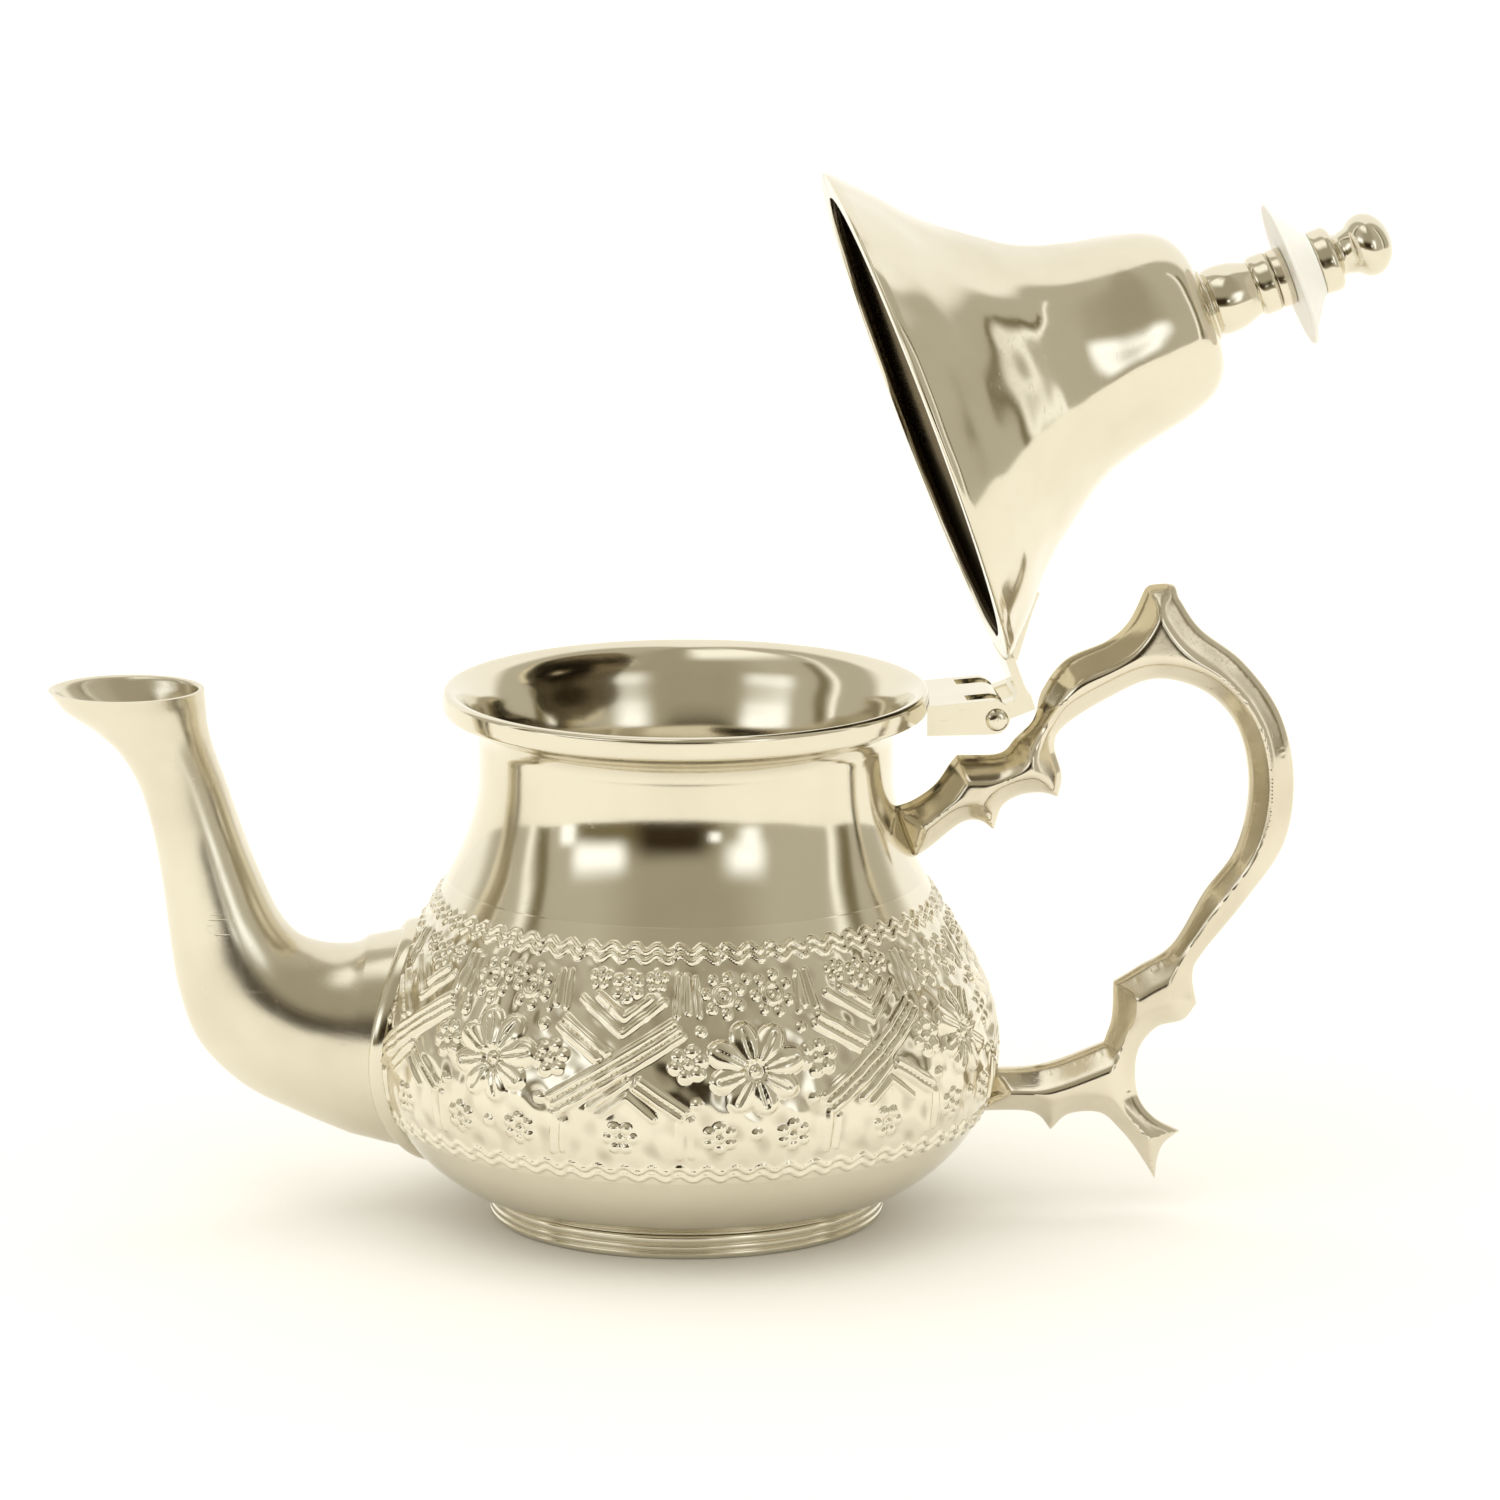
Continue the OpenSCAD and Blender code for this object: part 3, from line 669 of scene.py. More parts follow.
def relief_height(angle, z):
    """Height of the chasing at an angle from the front, towards the handle, and a height."""
    levels = np.linspace(BELT_LOW - 1, BELT_TOP + 1, 800)
    r = body_radius(levels)
    run = run_along(r, levels)
    s = np.interp(z, levels, run) - np.interp(BELLY_Z, levels, run)
    degrees = np.degrees(angle) - PANEL_TURN
    local = (degrees + PANEL / 2) % PANEL - PANEL / 2
    rose = (degrees + PANEL) % PANEL - PANEL / 2
    cross = cross_panel(local * MM_PER_DEGREE, s - 10.5)
    out = np.maximum(cross, rose_panel(rose * MM_PER_DEGREE, s - 8.2))
    out = np.where(np.abs(local) < PANEL / 4, np.where(cross < 0, cross, out), out)
    out = out * np.clip((24.9 - s) / 0.8, 0, 1) * np.clip((s + 7.2) / 0.8, 0, 1)
    out = np.maximum(out, wave_border(degrees, s, 27.4, 0.55, 1.5, 0.42))
    out = np.maximum(out, wave_border(degrees, s, -8.7, 0.55, 1.5, 0.36))
    out = out + uneven_ground(angle, s)
    edge = np.clip(np.minimum(z - BELT_LOW, BELT_TOP - z) / 0.8, 0, 1)
    return out * edge


def make_belt(name, start):
    """Half of the chased sheet, closed behind, its outside raised by the punches."""
    section = [(float(body_radius(BELT_LOW - 0.2)) - 0.04, BELT_LOW - 0.2)]
    section += body_line(BELT_LOW, BELT_TOP, BELT_ROWS)
    section += [(float(body_radius(BELT_TOP + 0.2)) - 0.04, BELT_TOP + 0.2)]
    back = [(r - BELT_SINK - 0.3, z) for r, z in body_line(BELT_LOW, BELT_TOP, 12)][::-1]
    section += back + section[:1]
    bpy.ops.object.select_all(action="DESELECT")
    bpy.ops.mesh.primitive_grid_add(x_subdivisions=BELT_STEPS, y_subdivisions=len(section) - 1, size=1)
    piece = bpy.context.object
    piece.name = piece.data.name = name
    grid = vertex_places(piece)
    column = (grid[:, 0] + 0.5) * math.pi + start
    row = np.rint((grid[:, 1] + 0.5) * (len(section) - 1)).astype(int)
    radius, z = np.array(section)[row].T
    height = np.where(row <= BELT_ROWS + 2, relief_height(column + math.pi / 2, z), 0)
    slope = (body_radius(z + 0.05) - body_radius(z - 0.05)) / 0.1
    lean = height / np.sqrt(1 + slope ** 2)
    radius = radius + lean
    place = np.stack([radius * np.cos(column), radius * np.sin(column), z - lean * slope], 1)
    piece.data.vertices.foreach_set("co", (place * MM).ravel())
    # How deep each point is sunk. This drives the painted shade in the chasing's hollows.
    hollow_shade = piece.data.attributes.new("hollow_shade", "FLOAT", "POINT")
    hollow_shade.data.foreach_set("value", np.clip(-height / 0.35, 0, 1).astype(np.float32))
    piece.data.update()
    only(piece)
    start_edit()
    bpy.ops.mesh.remove_doubles(threshold=DOUBLES)
    bpy.ops.mesh.select_all(action="SELECT")
    bpy.ops.mesh.fill_holes(sides=0)
    end_edit()
    tidy(piece, 60)
    return finish_piece(piece, chased_plate, "pot", "bright_plate")


def make_foot():
    r, t, h = FOOT_R, 2.0, FOOT_H - 0.05
    bands = []
    edges = [0.35, 1.35, 2.5, h]
    for low, high in zip(edges, edges[1:]):
        bulge = (high - low) / 2
        bands += smooth_run([(r - 0.24, low + 0.04), (r - 0.05, low + bulge * 0.45),
                             (r, low + bulge), (r - 0.05, high - bulge * 0.45),
                             (r - 0.24, high - 0.04)], 4)
    outline = [(r - t, 0.25), (r - t + 0.25, 0), (r - 0.7, 0)] + bands + [(r - t, h)]
    piece = turned("foot_ring_bands", outline, steps=192, angle=50)
    return finish_piece(piece, polished_plate, "pot", "bright_plate", "foot_ring")


# ---------------------------------------------------------------- the lid and its knob
BRIM_LOW, BRIM_HIGH = (0.985, 0.030), (0.938, 0.066)     # shares of LID_R and LID_H


def lid_outside():
    shares = [BRIM_LOW, BRIM_HIGH, (0.846, 0.138), (0.752, 0.204), (0.675, 0.272),
              (0.615, 0.338), (0.556, 0.405), (0.503, 0.470), (0.457, 0.550), (0.424, 0.645),
              (0.402, 0.730), (0.381, 0.815), (0.352, 0.893), (0.312, 0.948), (0.255, 0.984),
              (0.195, 0.998), (0.150, 1.0)]
    bell = smooth_run([(a * LID_R, b * LID_H) for a, b in shares], 6)
    edge = [(LID_R - 0.55, 0)] + arc((LID_R - 0.45, 0.45), 0.45, -80, 35, 7)
    return edge + bell


def make_lid():
    outside = lid_outside()
    wall = side_step(outside[12:], -LID_WALL)[::-1]
    outline = (outside + [(2.1, LID_H), (2.1, LID_H - LID_WALL)] + wall
               + [(LID_R - 3.6, 0.9), (LID_R - 4, 0.8), (LID_R - 4.1, 0.4), (LID_R - 4, 0)])
    piece = turned("lid_bell", [(r, z + LID_Z) for r, z in outline], steps=256, angle=40)
    inner = []
    for face in piece.data.polygons:
        outward = face.normal.x * face.center.x + face.normal.y * face.center.y
        inner.append(face.center.z > (LID_Z + 0.82) * MM and (outward < 0 or face.normal.z < -0.9))
    piece.data.transform(open_place())
    finish_piece(piece, lid_plate, "lid", "bright_plate", "lid_shell")
    piece.data.materials.append(lid_inside)
    piece.data.polygons.foreach_set("material_index", [int(dark) for dark in inner])
    return piece


KNOB_Z = LID_Z + LID_H + 0.05
BORE = 2.05
BARREL_R = 5.6
BARREL_H = 11
FERRULE_H = 2.4
DISC_R = 12.0
DISC_H = 4.8
CAP_R = 5.3
BALL_R = 5.15


def knob_piece(name, base, outline, material, slot, node, angle=35):
    piece = turned(name, [(r, z + base) for r, z in outline], steps=96, angle=angle)
    piece.data.transform(open_place())
    return finish_piece(piece, material, "lid", slot, node)


def make_knob():
    r, d, c = BARREL_R, DISC_R, CAP_R
    knob_piece("knob_base_ring_turned", KNOB_Z,
               [(BORE, 0), (r - 0.2, 0)] + arc((r - 0.1, 0.42), 0.42, -90, 90, 8)
               + [(r - 0.35, 0.85), (BORE, 0.85)],
               polished_plate, "bright_plate", "knob_base_ring")
    barrel = KNOB_Z + 0.9
    side = smooth_run([(r - 0.45, 0), (r - 0.1, 0.9), (r, 2.6), (r - 0.35, 4.8), (r - 1.05, 6.8),
                       (r - 1.3, 7.5)], 6)
    collar = smooth_run([(r - 1.3, 7.5), (r - 0.95, 7.75), (r - 0.72, 8.3), (r - 0.7, 9.4),
                         (r - 0.72, 10.5), (r - 1.0, 10.9)], 5)
    knob_piece("knob_barrel_turned", barrel, [(BORE, 0)] + side + collar[1:] + [(BORE, 10.9)],
               polished_plate, "bright_plate", "knob_barrel")
    ferrule = barrel + BARREL_H
    knob_piece("knob_ferrule_turned", ferrule,
               [(BORE, 0), (r - 1.1, 0)] + arc((r - 1.05, 0.3), 0.25, -90, 0, 4)
               + arc((r - 1.05, 2.1), 0.25, 0, 90, 4) + [(BORE, 2.35)],
               cast_plate, "dull_plate", "knob_ferrule")
    disc = ferrule + FERRULE_H
    edge = arc((d - 0.4, 0.4), 0.4, -90, 80, 8)
    cone = smooth_run([(d - 0.4, 0.8), (d - 1.5, 1.08), (8.7, 2.2), (6.3, 3.75), (5.45, 4.45),
                       (5.3, 4.75)], 5)
    knob_piece("insulator_disc_turned", disc, [(BORE, 0), (d - 0.7, 0)] + edge + cone + [(BORE, 4.75)],
               insulator_plastic, "insulator", "insulator_disc", 50)
    cap = disc + DISC_H
    ball_h = BALL_R * 0.76
    ball_z = 4.9 + ball_h
    collar = smooth_run([(c - 0.3, 0), (c - 0.05, 0.3), (c, 1.2), (c, 2.5), (c - 0.4, 3.2)], 4)
    neck = smooth_run([(c - 0.4, 3.2), (3.75, 3.7), (3.3, 4.35), (3.45, 4.95)], 4)
    round_top = [(BALL_R * math.cos(math.radians(a)), ball_z + ball_h * math.sin(math.radians(a)))
                 for a in range(-46, 91, 4)]
    round_top[-1] = (0.0, ball_z + ball_h)
    knob_piece("knob_cap_turned", cap, [(BORE, 0)] + collar + neck[1:] + round_top[1:]
               + [(0.0, 6.6), (BORE, 6.6)], polished_plate, "bright_plate", "knob_cap")


# ---------------------------------------------------------------- the spout
SPOUT_RINGS = [
    [(1.00, 1.000), (0.521, 1.002), 1.45], [(0.95, 0.962), (0.517, 0.975), 1.28],
    [(0.86, 0.925), (0.512, 0.935), 1.13], [(0.78, 0.878), (0.495, 0.890), 1.03],
    [(0.72, 0.812), (0.457, 0.825), 0.97], [(0.682, 0.727), (0.408, 0.735), 0.97],
    [(0.655, 0.628), (0.352, 0.645), 1.02], [(0.635, 0.529), (0.298, 0.575), 1.08],
    [(0.610, 0.428), (0.240, 0.533), 1.17], [(0.550, 0.329), (0.178, 0.517), 1.26],
    [(0.415, 0.245), (0.113, 0.512), 1.35], [(0.240, 0.190), (0.055, 0.515), 1.44],
    [(0.085, 0.150), (0.018, 0.528), 1.53]]
ROOT_LOW, ROOT_HIGH, ROOT_W = 0.112, 0.546, 1.60


def ring_point(hoop, angle, grow):
    """A point of one ring of the spout, angle 0 at its inner edge."""
    outer, inner = np.array(hoop[0:2]), np.array(hoop[2:4])
    middle, arm = (outer + inner) / 2, (inner - outer) / 2
    length = np.linalg.norm(arm)
    p = middle + arm * (1 + grow / length) * math.cos(angle)
    return (p[0], (hoop[4] + grow) * math.sin(angle), p[1])


def root_point(angle, grow, off):
    """A point where the spout meets the belly, off away from the belly."""
    z = MOUTH_Z * ((ROOT_LOW + ROOT_HIGH) / 2) \
        + (MOUTH_Z * (ROOT_HIGH - ROOT_LOW) / 2 + grow) * math.cos(angle)
    y = (ROOT_W * SPOUT_HALF_W + grow) * math.sin(angle)
    return (-math.sqrt(float(body_radius(z)) ** 2 - y * y) - off, y, z)


def loft(name, rings, angle):
    """A skin extruded ring by ring, its last ring joined to its first."""
    count = len(rings[0])
    piece = loop_of(name, [tuple(v * MM for v in p) for p in rings[0]])
    start_edit()
    for row in rings[1:]:
        bpy.ops.mesh.extrude_region()
        mesh = bmesh.from_edit_mesh(piece.data)
        mesh.verts.ensure_lookup_table()
        for vertex, point in zip(mesh.verts[-count:], row):
            vertex.co = [v * MM for v in point]
    bpy.ops.mesh.select_all(action="DESELECT")
    mesh = bmesh.from_edit_mesh(piece.data)
    mesh.verts.ensure_lookup_table()
    for vertex in list(mesh.verts[:count]) + list(mesh.verts[-count:]):
        vertex.select = True
    mesh.select_flush_mode()
    bpy.ops.mesh.bridge_edge_loops()
    end_edit()
    return tidy(piece, angle)


def make_spout():
    flat = [[-BELLY_R - s[0][0] * SPOUT_REACH, s[0][1] * MOUTH_Z, -BELLY_R - s[1][0] * SPOUT_REACH,
             s[1][1] * MOUTH_Z, s[2] * SPOUT_HALF_W] for s in SPOUT_RINGS]
    rings = [list(r) for r in smooth_run(flat, 8)]
    around = [TURN * k / 72 for k in range(72)]
    outside = [[ring_point(r, a, 0) for a in around] for r in rings]
    outside.append([root_point(a, 0, -0.25) for a in around])
    inside = [[ring_point(r, a, -SPOUT_WALL) for a in around] for r in rings]
    inside.append([root_point(a, -SPOUT_WALL, -0.25) for a in around])
    lip = [[tuple(np.array(ring_point(rings[0], a, -g)) + np.array([0, 0, up])) for a in around]
           for g, up in ((0.12, 0.06), (0.42, 0.12), (0.8, 0.0))]
    piece = loft("spout_tube", outside[::-1] + lip + inside[1:], angle=50)
    wrap = piece.data.uv_layers.new(name="lengthwise")
    index = np.empty(len(piece.data.loops), int)
    piece.data.loops.foreach_get("vertex_index", index)
    place = vertex_places(piece) / MM
    centres = np.array([[(r[0] + r[2]) / 2, (r[1] + r[3]) / 2] for r in rings])
    run = run_along(*centres.T)
    gap = np.linalg.norm(place[:, None, [0, 2]] - centres[None], axis=2)
    near = gap.argmin(1)
    ahead = np.gradient(centres, axis=0)
    ahead /= np.linalg.norm(ahead, axis=1)[:, None]
    offset = place[:, [0, 2]] - centres[near]
    along = run[near] + (offset * ahead[near]).sum(1)
    across = (offset * np.stack([-ahead[near][:, 1], ahead[near][:, 0]], 1)).sum(1)
    turn = np.arctan2(np.abs(place[:, 1]), across)
    uv = np.stack([along / 40, turn / math.pi], 1)[index]
    wrap.data.foreach_set("uv", uv.ravel())
    return finish_piece(piece, brushed_plate, "pot", "brushed_plate",
                        "spout_near_half", "spout_far_half")


def make_collar():
    around = [TURN * k / 96 for k in range(96)]
    section = [(-0.3, -0.2), (1.15, -0.2), (1.3, 0.1), (1.33, 0.7), (1.2, 1.5), (0.95, 2.15), (0.6, 2.4),
               (0.25, 2.35), (0.05, 2.1), (-0.3, 1.9)]
    rings = [[root_point(a, grow, off) for a in around] for grow, off in section]
    piece = loft("spout_collar_ring", rings, angle=60)
    return finish_piece(piece, polished_plate, "pot", "bright_plate", "spout_collar")


# ---------------------------------------------------------------- the cast handle
HANDLE_REF = (49.0, 82.0)
HANDLE_RUNS = [
    [(30, 66.5), (34, 67), (37, 68.2), (40, 70.5), (42.3, 73.8), (43.5, 75.3)],
    [(43.5, 75.3), (50.3, 75.6), (53, 78.2), (55.8, 81.2), (57.2, 86), (61, 91), (67.5, 94),
     (71, 97.2), (73.6, 102.6)],
    [(73.6, 102.6), (74.7, 103.2), (78, 103.2), (79, 101)],
    [(79, 101), (82.5, 96), (89.5, 90.5), (95.5, 82), (97.8, 71.5), (96.3, 60.7), (90.3, 51.5),
     (83.3, 42.5), (81.8, 39), (82.5, 34.2)],
    [(82.5, 34.2), (80.3, 31.5), (76, 30.2), (73, 26), (73, 19.5), (75.5, 15.5), (80, 13)],
    [(80, 13), (77.5, 11), (76.4, 8.5), (76, 5)],
    [(76, 5), (73, 9.8), (70.2, 13.3), (67, 16), (62, 15.8), (59, 13.2)],
    [(59, 13.2), (57, 15.6), (54, 16.4), (46, 16.3), (40, 16.3)],
    [(40, 23.8), (46, 23.8), (54, 23.8), (59.5, 24.8), (67.6, 28)],
    [(67.6, 28), (68.8, 32), (69, 38)],
    [(69, 38), (73, 40.5), (78.5, 44.2), (83.5, 52.8), (88.5, 60), (90.5, 70), (88.8, 79.5),
     (83.5, 85.6), (75.5, 87.8), (68, 84.8), (61, 80.3), (59.2, 77), (60.4, 72), (59.8, 68.4)],
    [(59.8, 68.4), (57, 69.1), (53.5, 68.6), (50.8, 66.8), (49.5, 63)],
    [(49.5, 63), (47.2, 64.5), (44, 64), (38.5, 59.6), (35, 58), (30, 58)]]
HANDLE_HALF_W = 4.45
EDGE_STEP = 0.3
ROOT_DEPTH = 0.45
INNER_STEP = 0.36
EDGE_DEPTHS = (0.1, 0.26, 0.5, 0.8)


def handle_outline():
    """The casting's outline with its roots cut off just inside the pot's sheet."""
    raw = []
    for run in HANDLE_RUNS:
        placed = [(x - HANDLE_REF[0] + PIN_X, z * PIN_Z / HANDLE_REF[1]) for x, z in run]
        line = smooth_run(placed, 10)
        raw += line if not raw or math.dist(raw[-1], line[0]) > 0.1 else line[1:]
    pts = np.array(raw)
    if math.dist(pts[0], pts[-1]) < 1e-6:
        pts = pts[:-1]
    closed = np.vstack([pts, pts[:1]])
    run = run_along(*closed.T)
    keep = np.arange(0, run[-1], EDGE_STEP)
    even = np.stack([np.interp(keep, run, closed[:, 0]), np.interp(keep, run, closed[:, 1])], 1)
    even[:, 0] = np.maximum(even[:, 0], body_radius(even[:, 1]) - ROOT_DEPTH)
    spaced = [even[0]]
    for p in even[1:]:
        if np.linalg.norm(p - spaced[-1]) > EDGE_STEP * 0.4:
            spaced.append(p)
    if np.linalg.norm(spaced[-1] - spaced[0]) < EDGE_STEP * 0.4:
        spaced.pop()
    return np.array(spaced)


def distance_to(outline, points):
    """Distance from each point to the closed outline, and whether it lies inside."""
    a, b = outline, np.roll(outline, -1, 0)
    best = np.full(len(points), 1e9)
    inside = np.zeros(len(points), bool)
    for (ax, az), (bx, bz) in zip(a, b):
        dx, dz = bx - ax, bz - az
        length = dx * dx + dz * dz
        t = np.clip(((points[:, 0] - ax) * dx + (points[:, 1] - az) * dz) / length, 0, 1)
        gap = np.hypot(points[:, 0] - ax - t * dx, points[:, 1] - az - t * dz)
        best = np.minimum(best, gap)
        crosses = (az > points[:, 1]) != (bz > points[:, 1])
        if crosses.any():
            x_at = ax + (points[:, 1] - az) * dx / (dz if abs(dz) > 1e-12 else 1e-12)
            inside ^= crosses & (points[:, 0] < x_at)
    return best, inside


def make_handle():
    """Both sides of the casting rise from its outline to a soft ridge along the middle."""
    outline = handle_outline()
    low, high = outline.min(0), outline.max(0)
    rows = np.arange(low[1], high[1], INNER_STEP * math.sqrt(3) / 2)
    grid = np.array([(x + (INNER_STEP / 2 if k % 2 else 0), z) for k, z in enumerate(rows)
                     for x in np.arange(low[0], high[0], INNER_STEP)])
    gap, inside = distance_to(outline, grid)
    grid = grid[inside & (gap > 1.05)]
    normal = np.roll(outline, -1, 0) - np.roll(outline, 1, 0)
    normal = np.stack([normal[:, 1], -normal[:, 0]], 1) / np.linalg.norm(normal, axis=1)[:, None]
    rings = []
    for depth in EDGE_DEPTHS:
        inset = outline + depth * normal
        gap, inside = distance_to(outline, inset)
        if inside.mean() < 0.5:
            inset = outline - depth * normal
            gap, inside = distance_to(outline, inset)
        rings.append(inset[inside & (gap > depth * 0.9)])
    middle = np.vstack(rings + [grid])
    everything = [Vector(p) for p in np.vstack([outline, middle])]
    border = [list(range(len(outline)))]
    verts, _, faces, *_ = geometry.delaunay_2d_cdt(everything, [], border, 1, 1e-6)
    flat = np.array([(v.x, v.y) for v in verts])
    gap, _ = distance_to(outline, flat)
    roof = 0.55 + 1.05 * gap
    crown = HANDLE_HALF_W - 0.1 * np.log1p(np.exp((HANDLE_HALF_W - roof) / 0.1))
    soft = np.clip(gap / 0.9, 0, 1)
    height = crown * np.sqrt(1 - (1 - soft) ** 2)
    height[gap < 1e-4] = 0
    bpy.ops.object.select_all(action="DESELECT")
    mesh = bpy.data.meshes.new("handle_casting")
    piece = bpy.data.objects.new("handle_casting", mesh)
    bpy.context.scene.collection.objects.link(piece)
    count = len(flat)
    near = np.stack([flat[:, 0], -height, flat[:, 1]], 1)
    far = np.stack([flat[:, 0], height, flat[:, 1]], 1)
    tris = [tuple(f) for f in faces]
    mesh.from_pydata([tuple(v * MM) for v in np.vstack([near, far])], [],
                     tris + [tuple(i + count for i in f[::-1]) for f in tris])
    tidy(piece)
    start_edit("DESELECT")
    mesh = bmesh.from_edit_mesh(piece.data)
    for vertex in mesh.verts:
        vertex.select = abs(vertex.co.y) > 2.0 * MM
    mesh.select_flush_mode()
    bpy.ops.mesh.vertices_smooth(factor=0.5, repeat=5, xaxis=False, yaxis=True, zaxis=False)
    end_edit()
    tidy(piece, 120)
    return finish_piece(piece, cast_plate, "pot", "cast_plate", "handle")


# ---------------------------------------------------------------- the hinge
def thin_strap(piece):
    """Beats the leaf's strap thin where it lies on the brim, and draws its end back."""
    shut = open_place().inverted()
    base = Vector((BRIM_LOW[0] * LID_R, BRIM_LOW[1] * LID_H))
    along = (Vector((BRIM_HIGH[0] * LID_R, BRIM_HIGH[1] * LID_H)) - base).normalized()
    out = Vector((along.y, -along.x))
    for vertex in piece.data.vertices:
        p = (shut @ vertex.co) / MM
        r = math.hypot(p.x, p.y)
        offset = Vector((r, p.z - LID_Z)) - base
        run, lift = offset.dot(along), offset.dot(out)
        if run < 2.5 or not 0 < lift < 1.6:
            continue
        flat = base + along * min(run, STRAP_REACH) + out * (0.06 + max(lift - 0.3, 0) * 0.5)
        p = Vector((p.x * flat.x / r, p.y * flat.x / r, flat.y + LID_Z))
        vertex.co = open_place() @ (p * MM)


def make_hinge():
    bracket = softened_copy("hinge_bracket", "hinge_bracket_folded", 0.22, 3)
    finish_piece(bracket, polished_plate, "pot", "bright_plate", "hinge_bracket")
    leaf = softened_copy("lid_leaf", "lid_leaf_strap", 0.12, 3, reshape=thin_strap)
    finish_piece(leaf, polished_plate, "lid", "bright_plate", "lid_leaf")


make_body()
make_belt("chased_belt_front", -math.pi)
make_belt("chased_belt_back", 0.0)
make_foot()
make_lid()
make_knob()
make_spout()
make_collar()
make_handle()
make_hinge()

for node, finish in (("base_plate", dull_plate), ("spout_strainer", dull_plate),
                     ("hinge_pin", polished_plate), ("knob_stud", dull_plate),
                     ("knob_washer", dull_plate), ("knob_nut", dull_plate)):
    kept = frame["nodes"][node]
    kept.data.materials.clear()
    kept.data.materials.append(finish)


# ---------------------------------------------------------------- the studio
ROOM_FRONT = (0.44, 0.40, 0.30)
ROOM_SIDE = (0.58, 0.54, 0.44)
BACKDROP = (1.15, 1.12, 1.04)
BELOW = (0.50, 0.45, 0.36)
SHADE_BROWN = (0.040, 0.026, 0.012)
SHADE_OLIVE = (0.20, 0.165, 0.085)
DAYLIGHT = (1.55, 1.57, 1.58)
OVERHEAD = (1.30, 1.28, 1.20)
CLOTH = 8.0              # metres, as the next ones
CLOTH_FRONT = 0.55
CAMERA_AWAY = 1.5
CAMERA_TARGET = Vector((0.0103, 0, 0.0763))
VIEW_WIDTH = 0.2415      # at the target
SENSOR = 36              # millimetres
CAMERA_TILT = math.radians(12.3)
# name, azimuth and elevation in degrees, power
SKYLIGHTS = (("skylight_left", -50, 60, 1.05), ("skylight_right", 60, 65, 0.8))


def pale_cloth(name, colour):
    material, tree, shader, where = new_finish(name)
    drift = noise_node(tree, where, 2.5, 2, 0.5)
    tree.links.new(ramp_node(tree, drift, [(0.3, colour), (0.8, tuple(c * 0.985 for c in colour))]),
                   shader.inputs["Base Color"])
    shader.inputs["Roughness"].default_value = 0.8
    shader.inputs["Specular IOR Level"].default_value = 0.1
    return material


def make_stage():
    """A white cloth that ends half a metre in front of the pot."""
    bpy.ops.object.select_all(action="DESELECT")
    bpy.ops.mesh.primitive_plane_add(size=CLOTH, location=(0, CLOTH / 2 - CLOTH_FRONT, 0))
    floor = bpy.context.object
    bpy.ops.object.transform_apply(location=True)
    floor.name = "studio_floor"
    floor.data.materials.append(pale_cloth("pale_cloth", (0.95, 0.94, 0.915)))


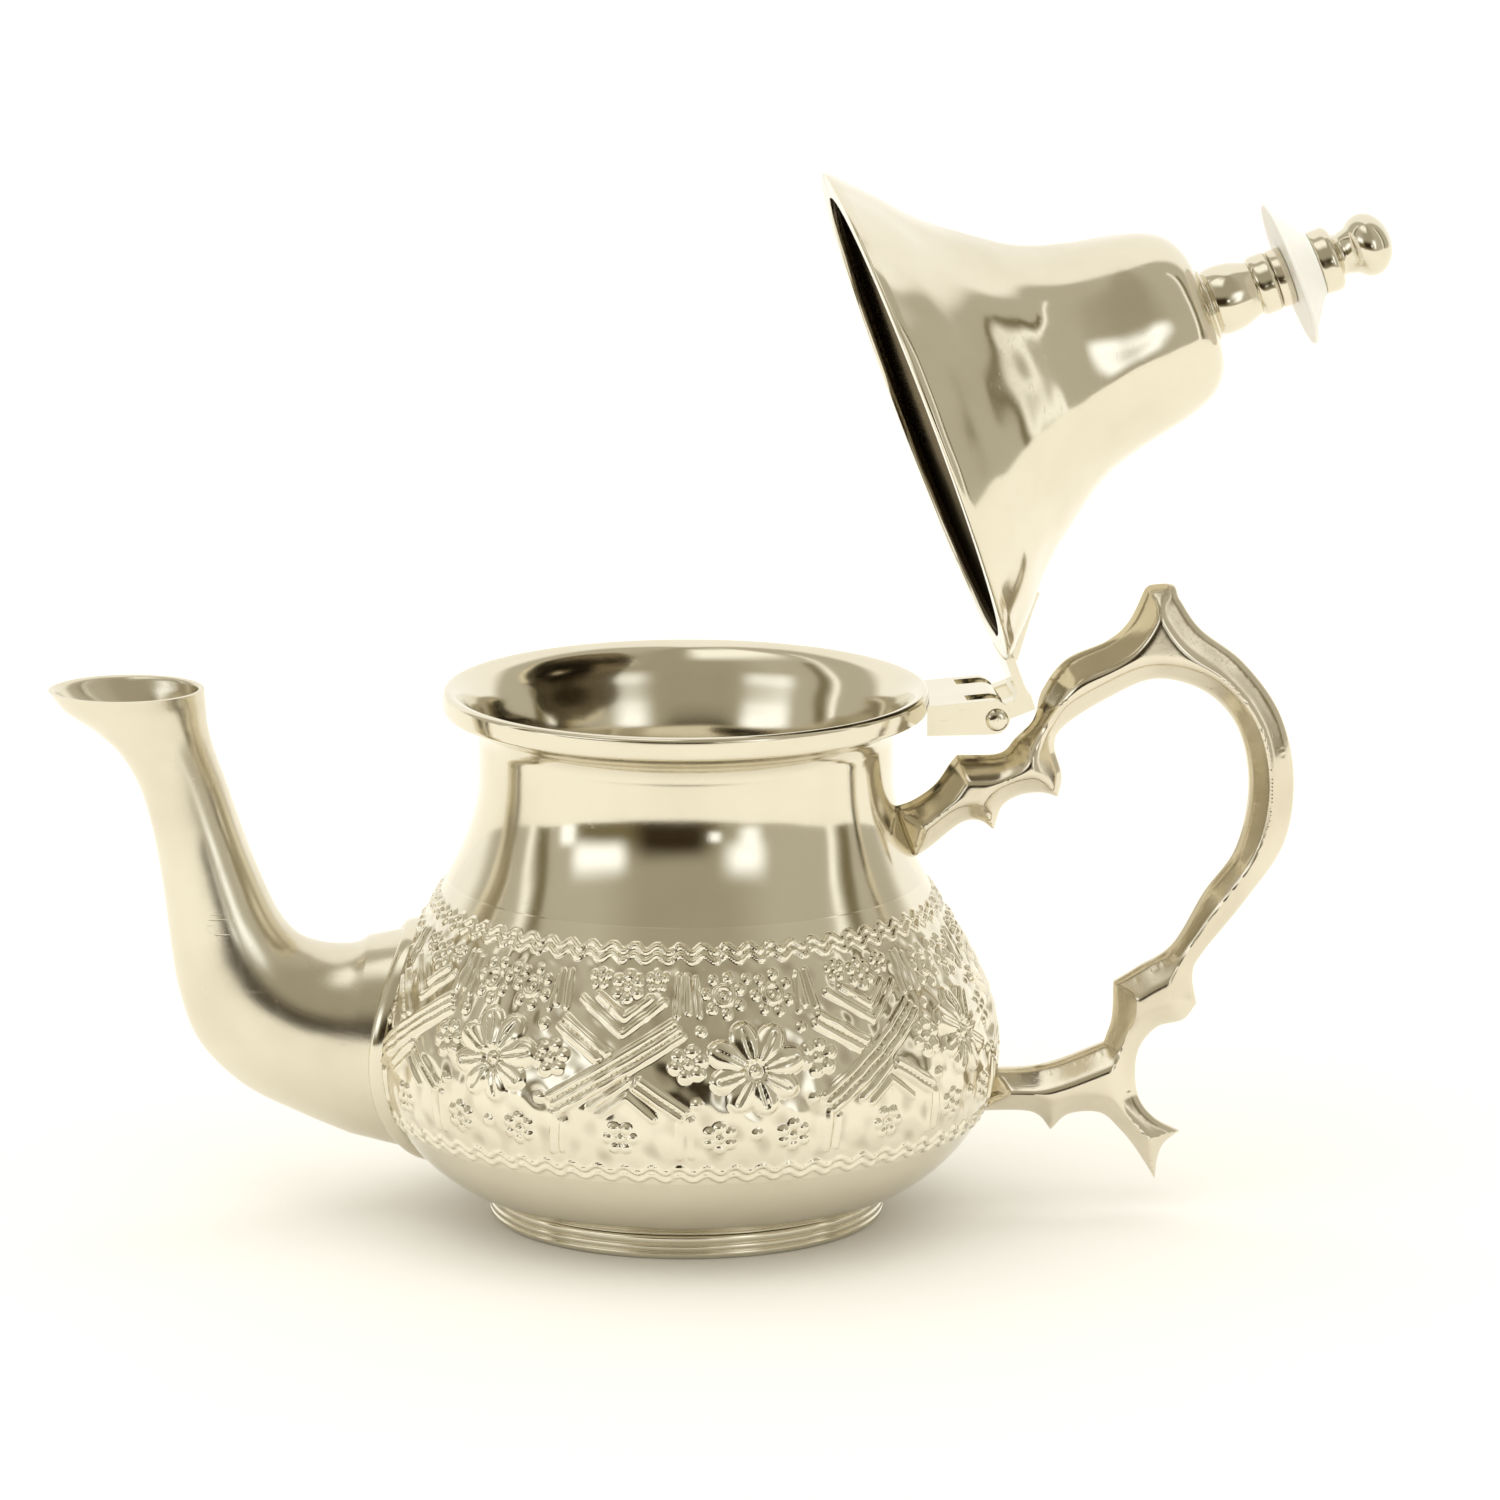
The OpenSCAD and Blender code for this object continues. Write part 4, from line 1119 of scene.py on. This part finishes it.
def make_air():
    """A warm grey room in front with soft windows and dark corners, a white backdrop behind."""
    world = bpy.data.worlds.new("studio_air")
    bpy.context.scene.world = world
    world.use_nodes = True
    tree = world.node_tree
    way = tree.nodes.new("ShaderNodeSeparateXYZ")
    tree.links.new(tree.nodes.new("ShaderNodeTexCoord").outputs["Generated"], way.inputs[0])
    x, y, z = way.outputs
    azimuth = math_node(tree, "ARCTAN2", x, math_node(tree, "MULTIPLY", y, -1.0))
    elevation = math_node(tree, "ARCSINE", z)

    def spread(value, low, high):
        node = tree.nodes.new("ShaderNodeMapRange")
        node.interpolation_type = "SMOOTHSTEP"
        tree.links.new(value, node.inputs["Value"])
        node.inputs["From Min"].default_value = math.radians(low)
        node.inputs["From Max"].default_value = math.radians(high)
        return node.outputs["Result"]

    def patch(left, right, low, high, edge):
        """A soft-edged field between two azimuths and two elevations, in degrees."""
        mask = spread(azimuth, left - edge, left + edge)
        for value, start, end in ((azimuth, right + edge, right - edge),
                                  (elevation, low - edge, low + edge),
                                  (elevation, high + edge, high - edge)):
            mask = math_node(tree, "MULTIPLY", mask, spread(value, start, end))
        return mask

    aside = math_node(tree, "ABSOLUTE", azimuth)
    colour = mix_node(tree, spread(aside, 20, 55), ROOM_FRONT, ROOM_SIDE)
    for field, tone in (((-62, 18, -12, 10, 8), SHADE_OLIVE), ((-26, 12, -9, 15, 8), SHADE_BROWN),
                        ((-62, -34, 7, 22, 6), DAYLIGHT), ((-72, -62, -4, 8, 3), DAYLIGHT),
                        ((24, 42, 8, 24, 7), DAYLIGHT), ((30, 40, -4, 12, 5), DAYLIGHT),
                        ((13, 19, 0, 7, 2), DAYLIGHT), ((-75, -5, 54, 78, 8), OVERHEAD),
                        ((83, 88, -9, 62, 1.5), OVERHEAD), ((91, 98, -9, 50, 2), SHADE_OLIVE),
                        ((-95, -90, -9, 60, 1.5), OVERHEAD), ((-87, -80, -9, 45, 2), SHADE_OLIVE)):
        colour = mix_node(tree, patch(*field), colour, tone)
    colour = mix_node(tree, spread(aside, 120, 134), colour, BACKDROP)
    colour = mix_node(tree, spread(elevation, -10, -14), colour, BELOW)
    tree.links.new(colour, tree.nodes["Background"].inputs["Color"])


def make_lights():
    make_air()
    for name, azimuth, elevation, power in SKYLIGHTS:
        lamp = bpy.data.lights.new(name, "SUN")
        lamp.energy = power
        lamp.angle = math.radians(100)
        lamp.color = (1, 0.99, 0.965)
        holder = bpy.data.objects.new(name, lamp)
        bpy.context.scene.collection.objects.link(holder)
        a, e = math.radians(azimuth), math.radians(elevation)
        toward = Vector((math.sin(a) * math.cos(e), -math.cos(a) * math.cos(e), math.sin(e)))
        holder.rotation_euler = toward.to_track_quat("Z", "Y").to_euler()
        holder.visible_glossy = False


def make_camera():
    lens = bpy.data.cameras.new("studio_camera")
    lens.sensor_width = SENSOR
    lens.lens = SENSOR * CAMERA_AWAY / VIEW_WIDTH
    lens.clip_end = 50
    camera = bpy.data.objects.new("studio_camera", lens)
    bpy.context.scene.collection.objects.link(camera)
    aim = Vector((0, -math.cos(CAMERA_TILT), math.sin(CAMERA_TILT)))
    camera.location = CAMERA_TARGET + CAMERA_AWAY * aim
    camera.rotation_euler = (math.pi / 2 - CAMERA_TILT, 0, 0)
    bpy.context.scene.camera = camera


make_stage()
make_lights()
make_camera()
bpy.context.scene.view_settings.view_transform = "Standard"
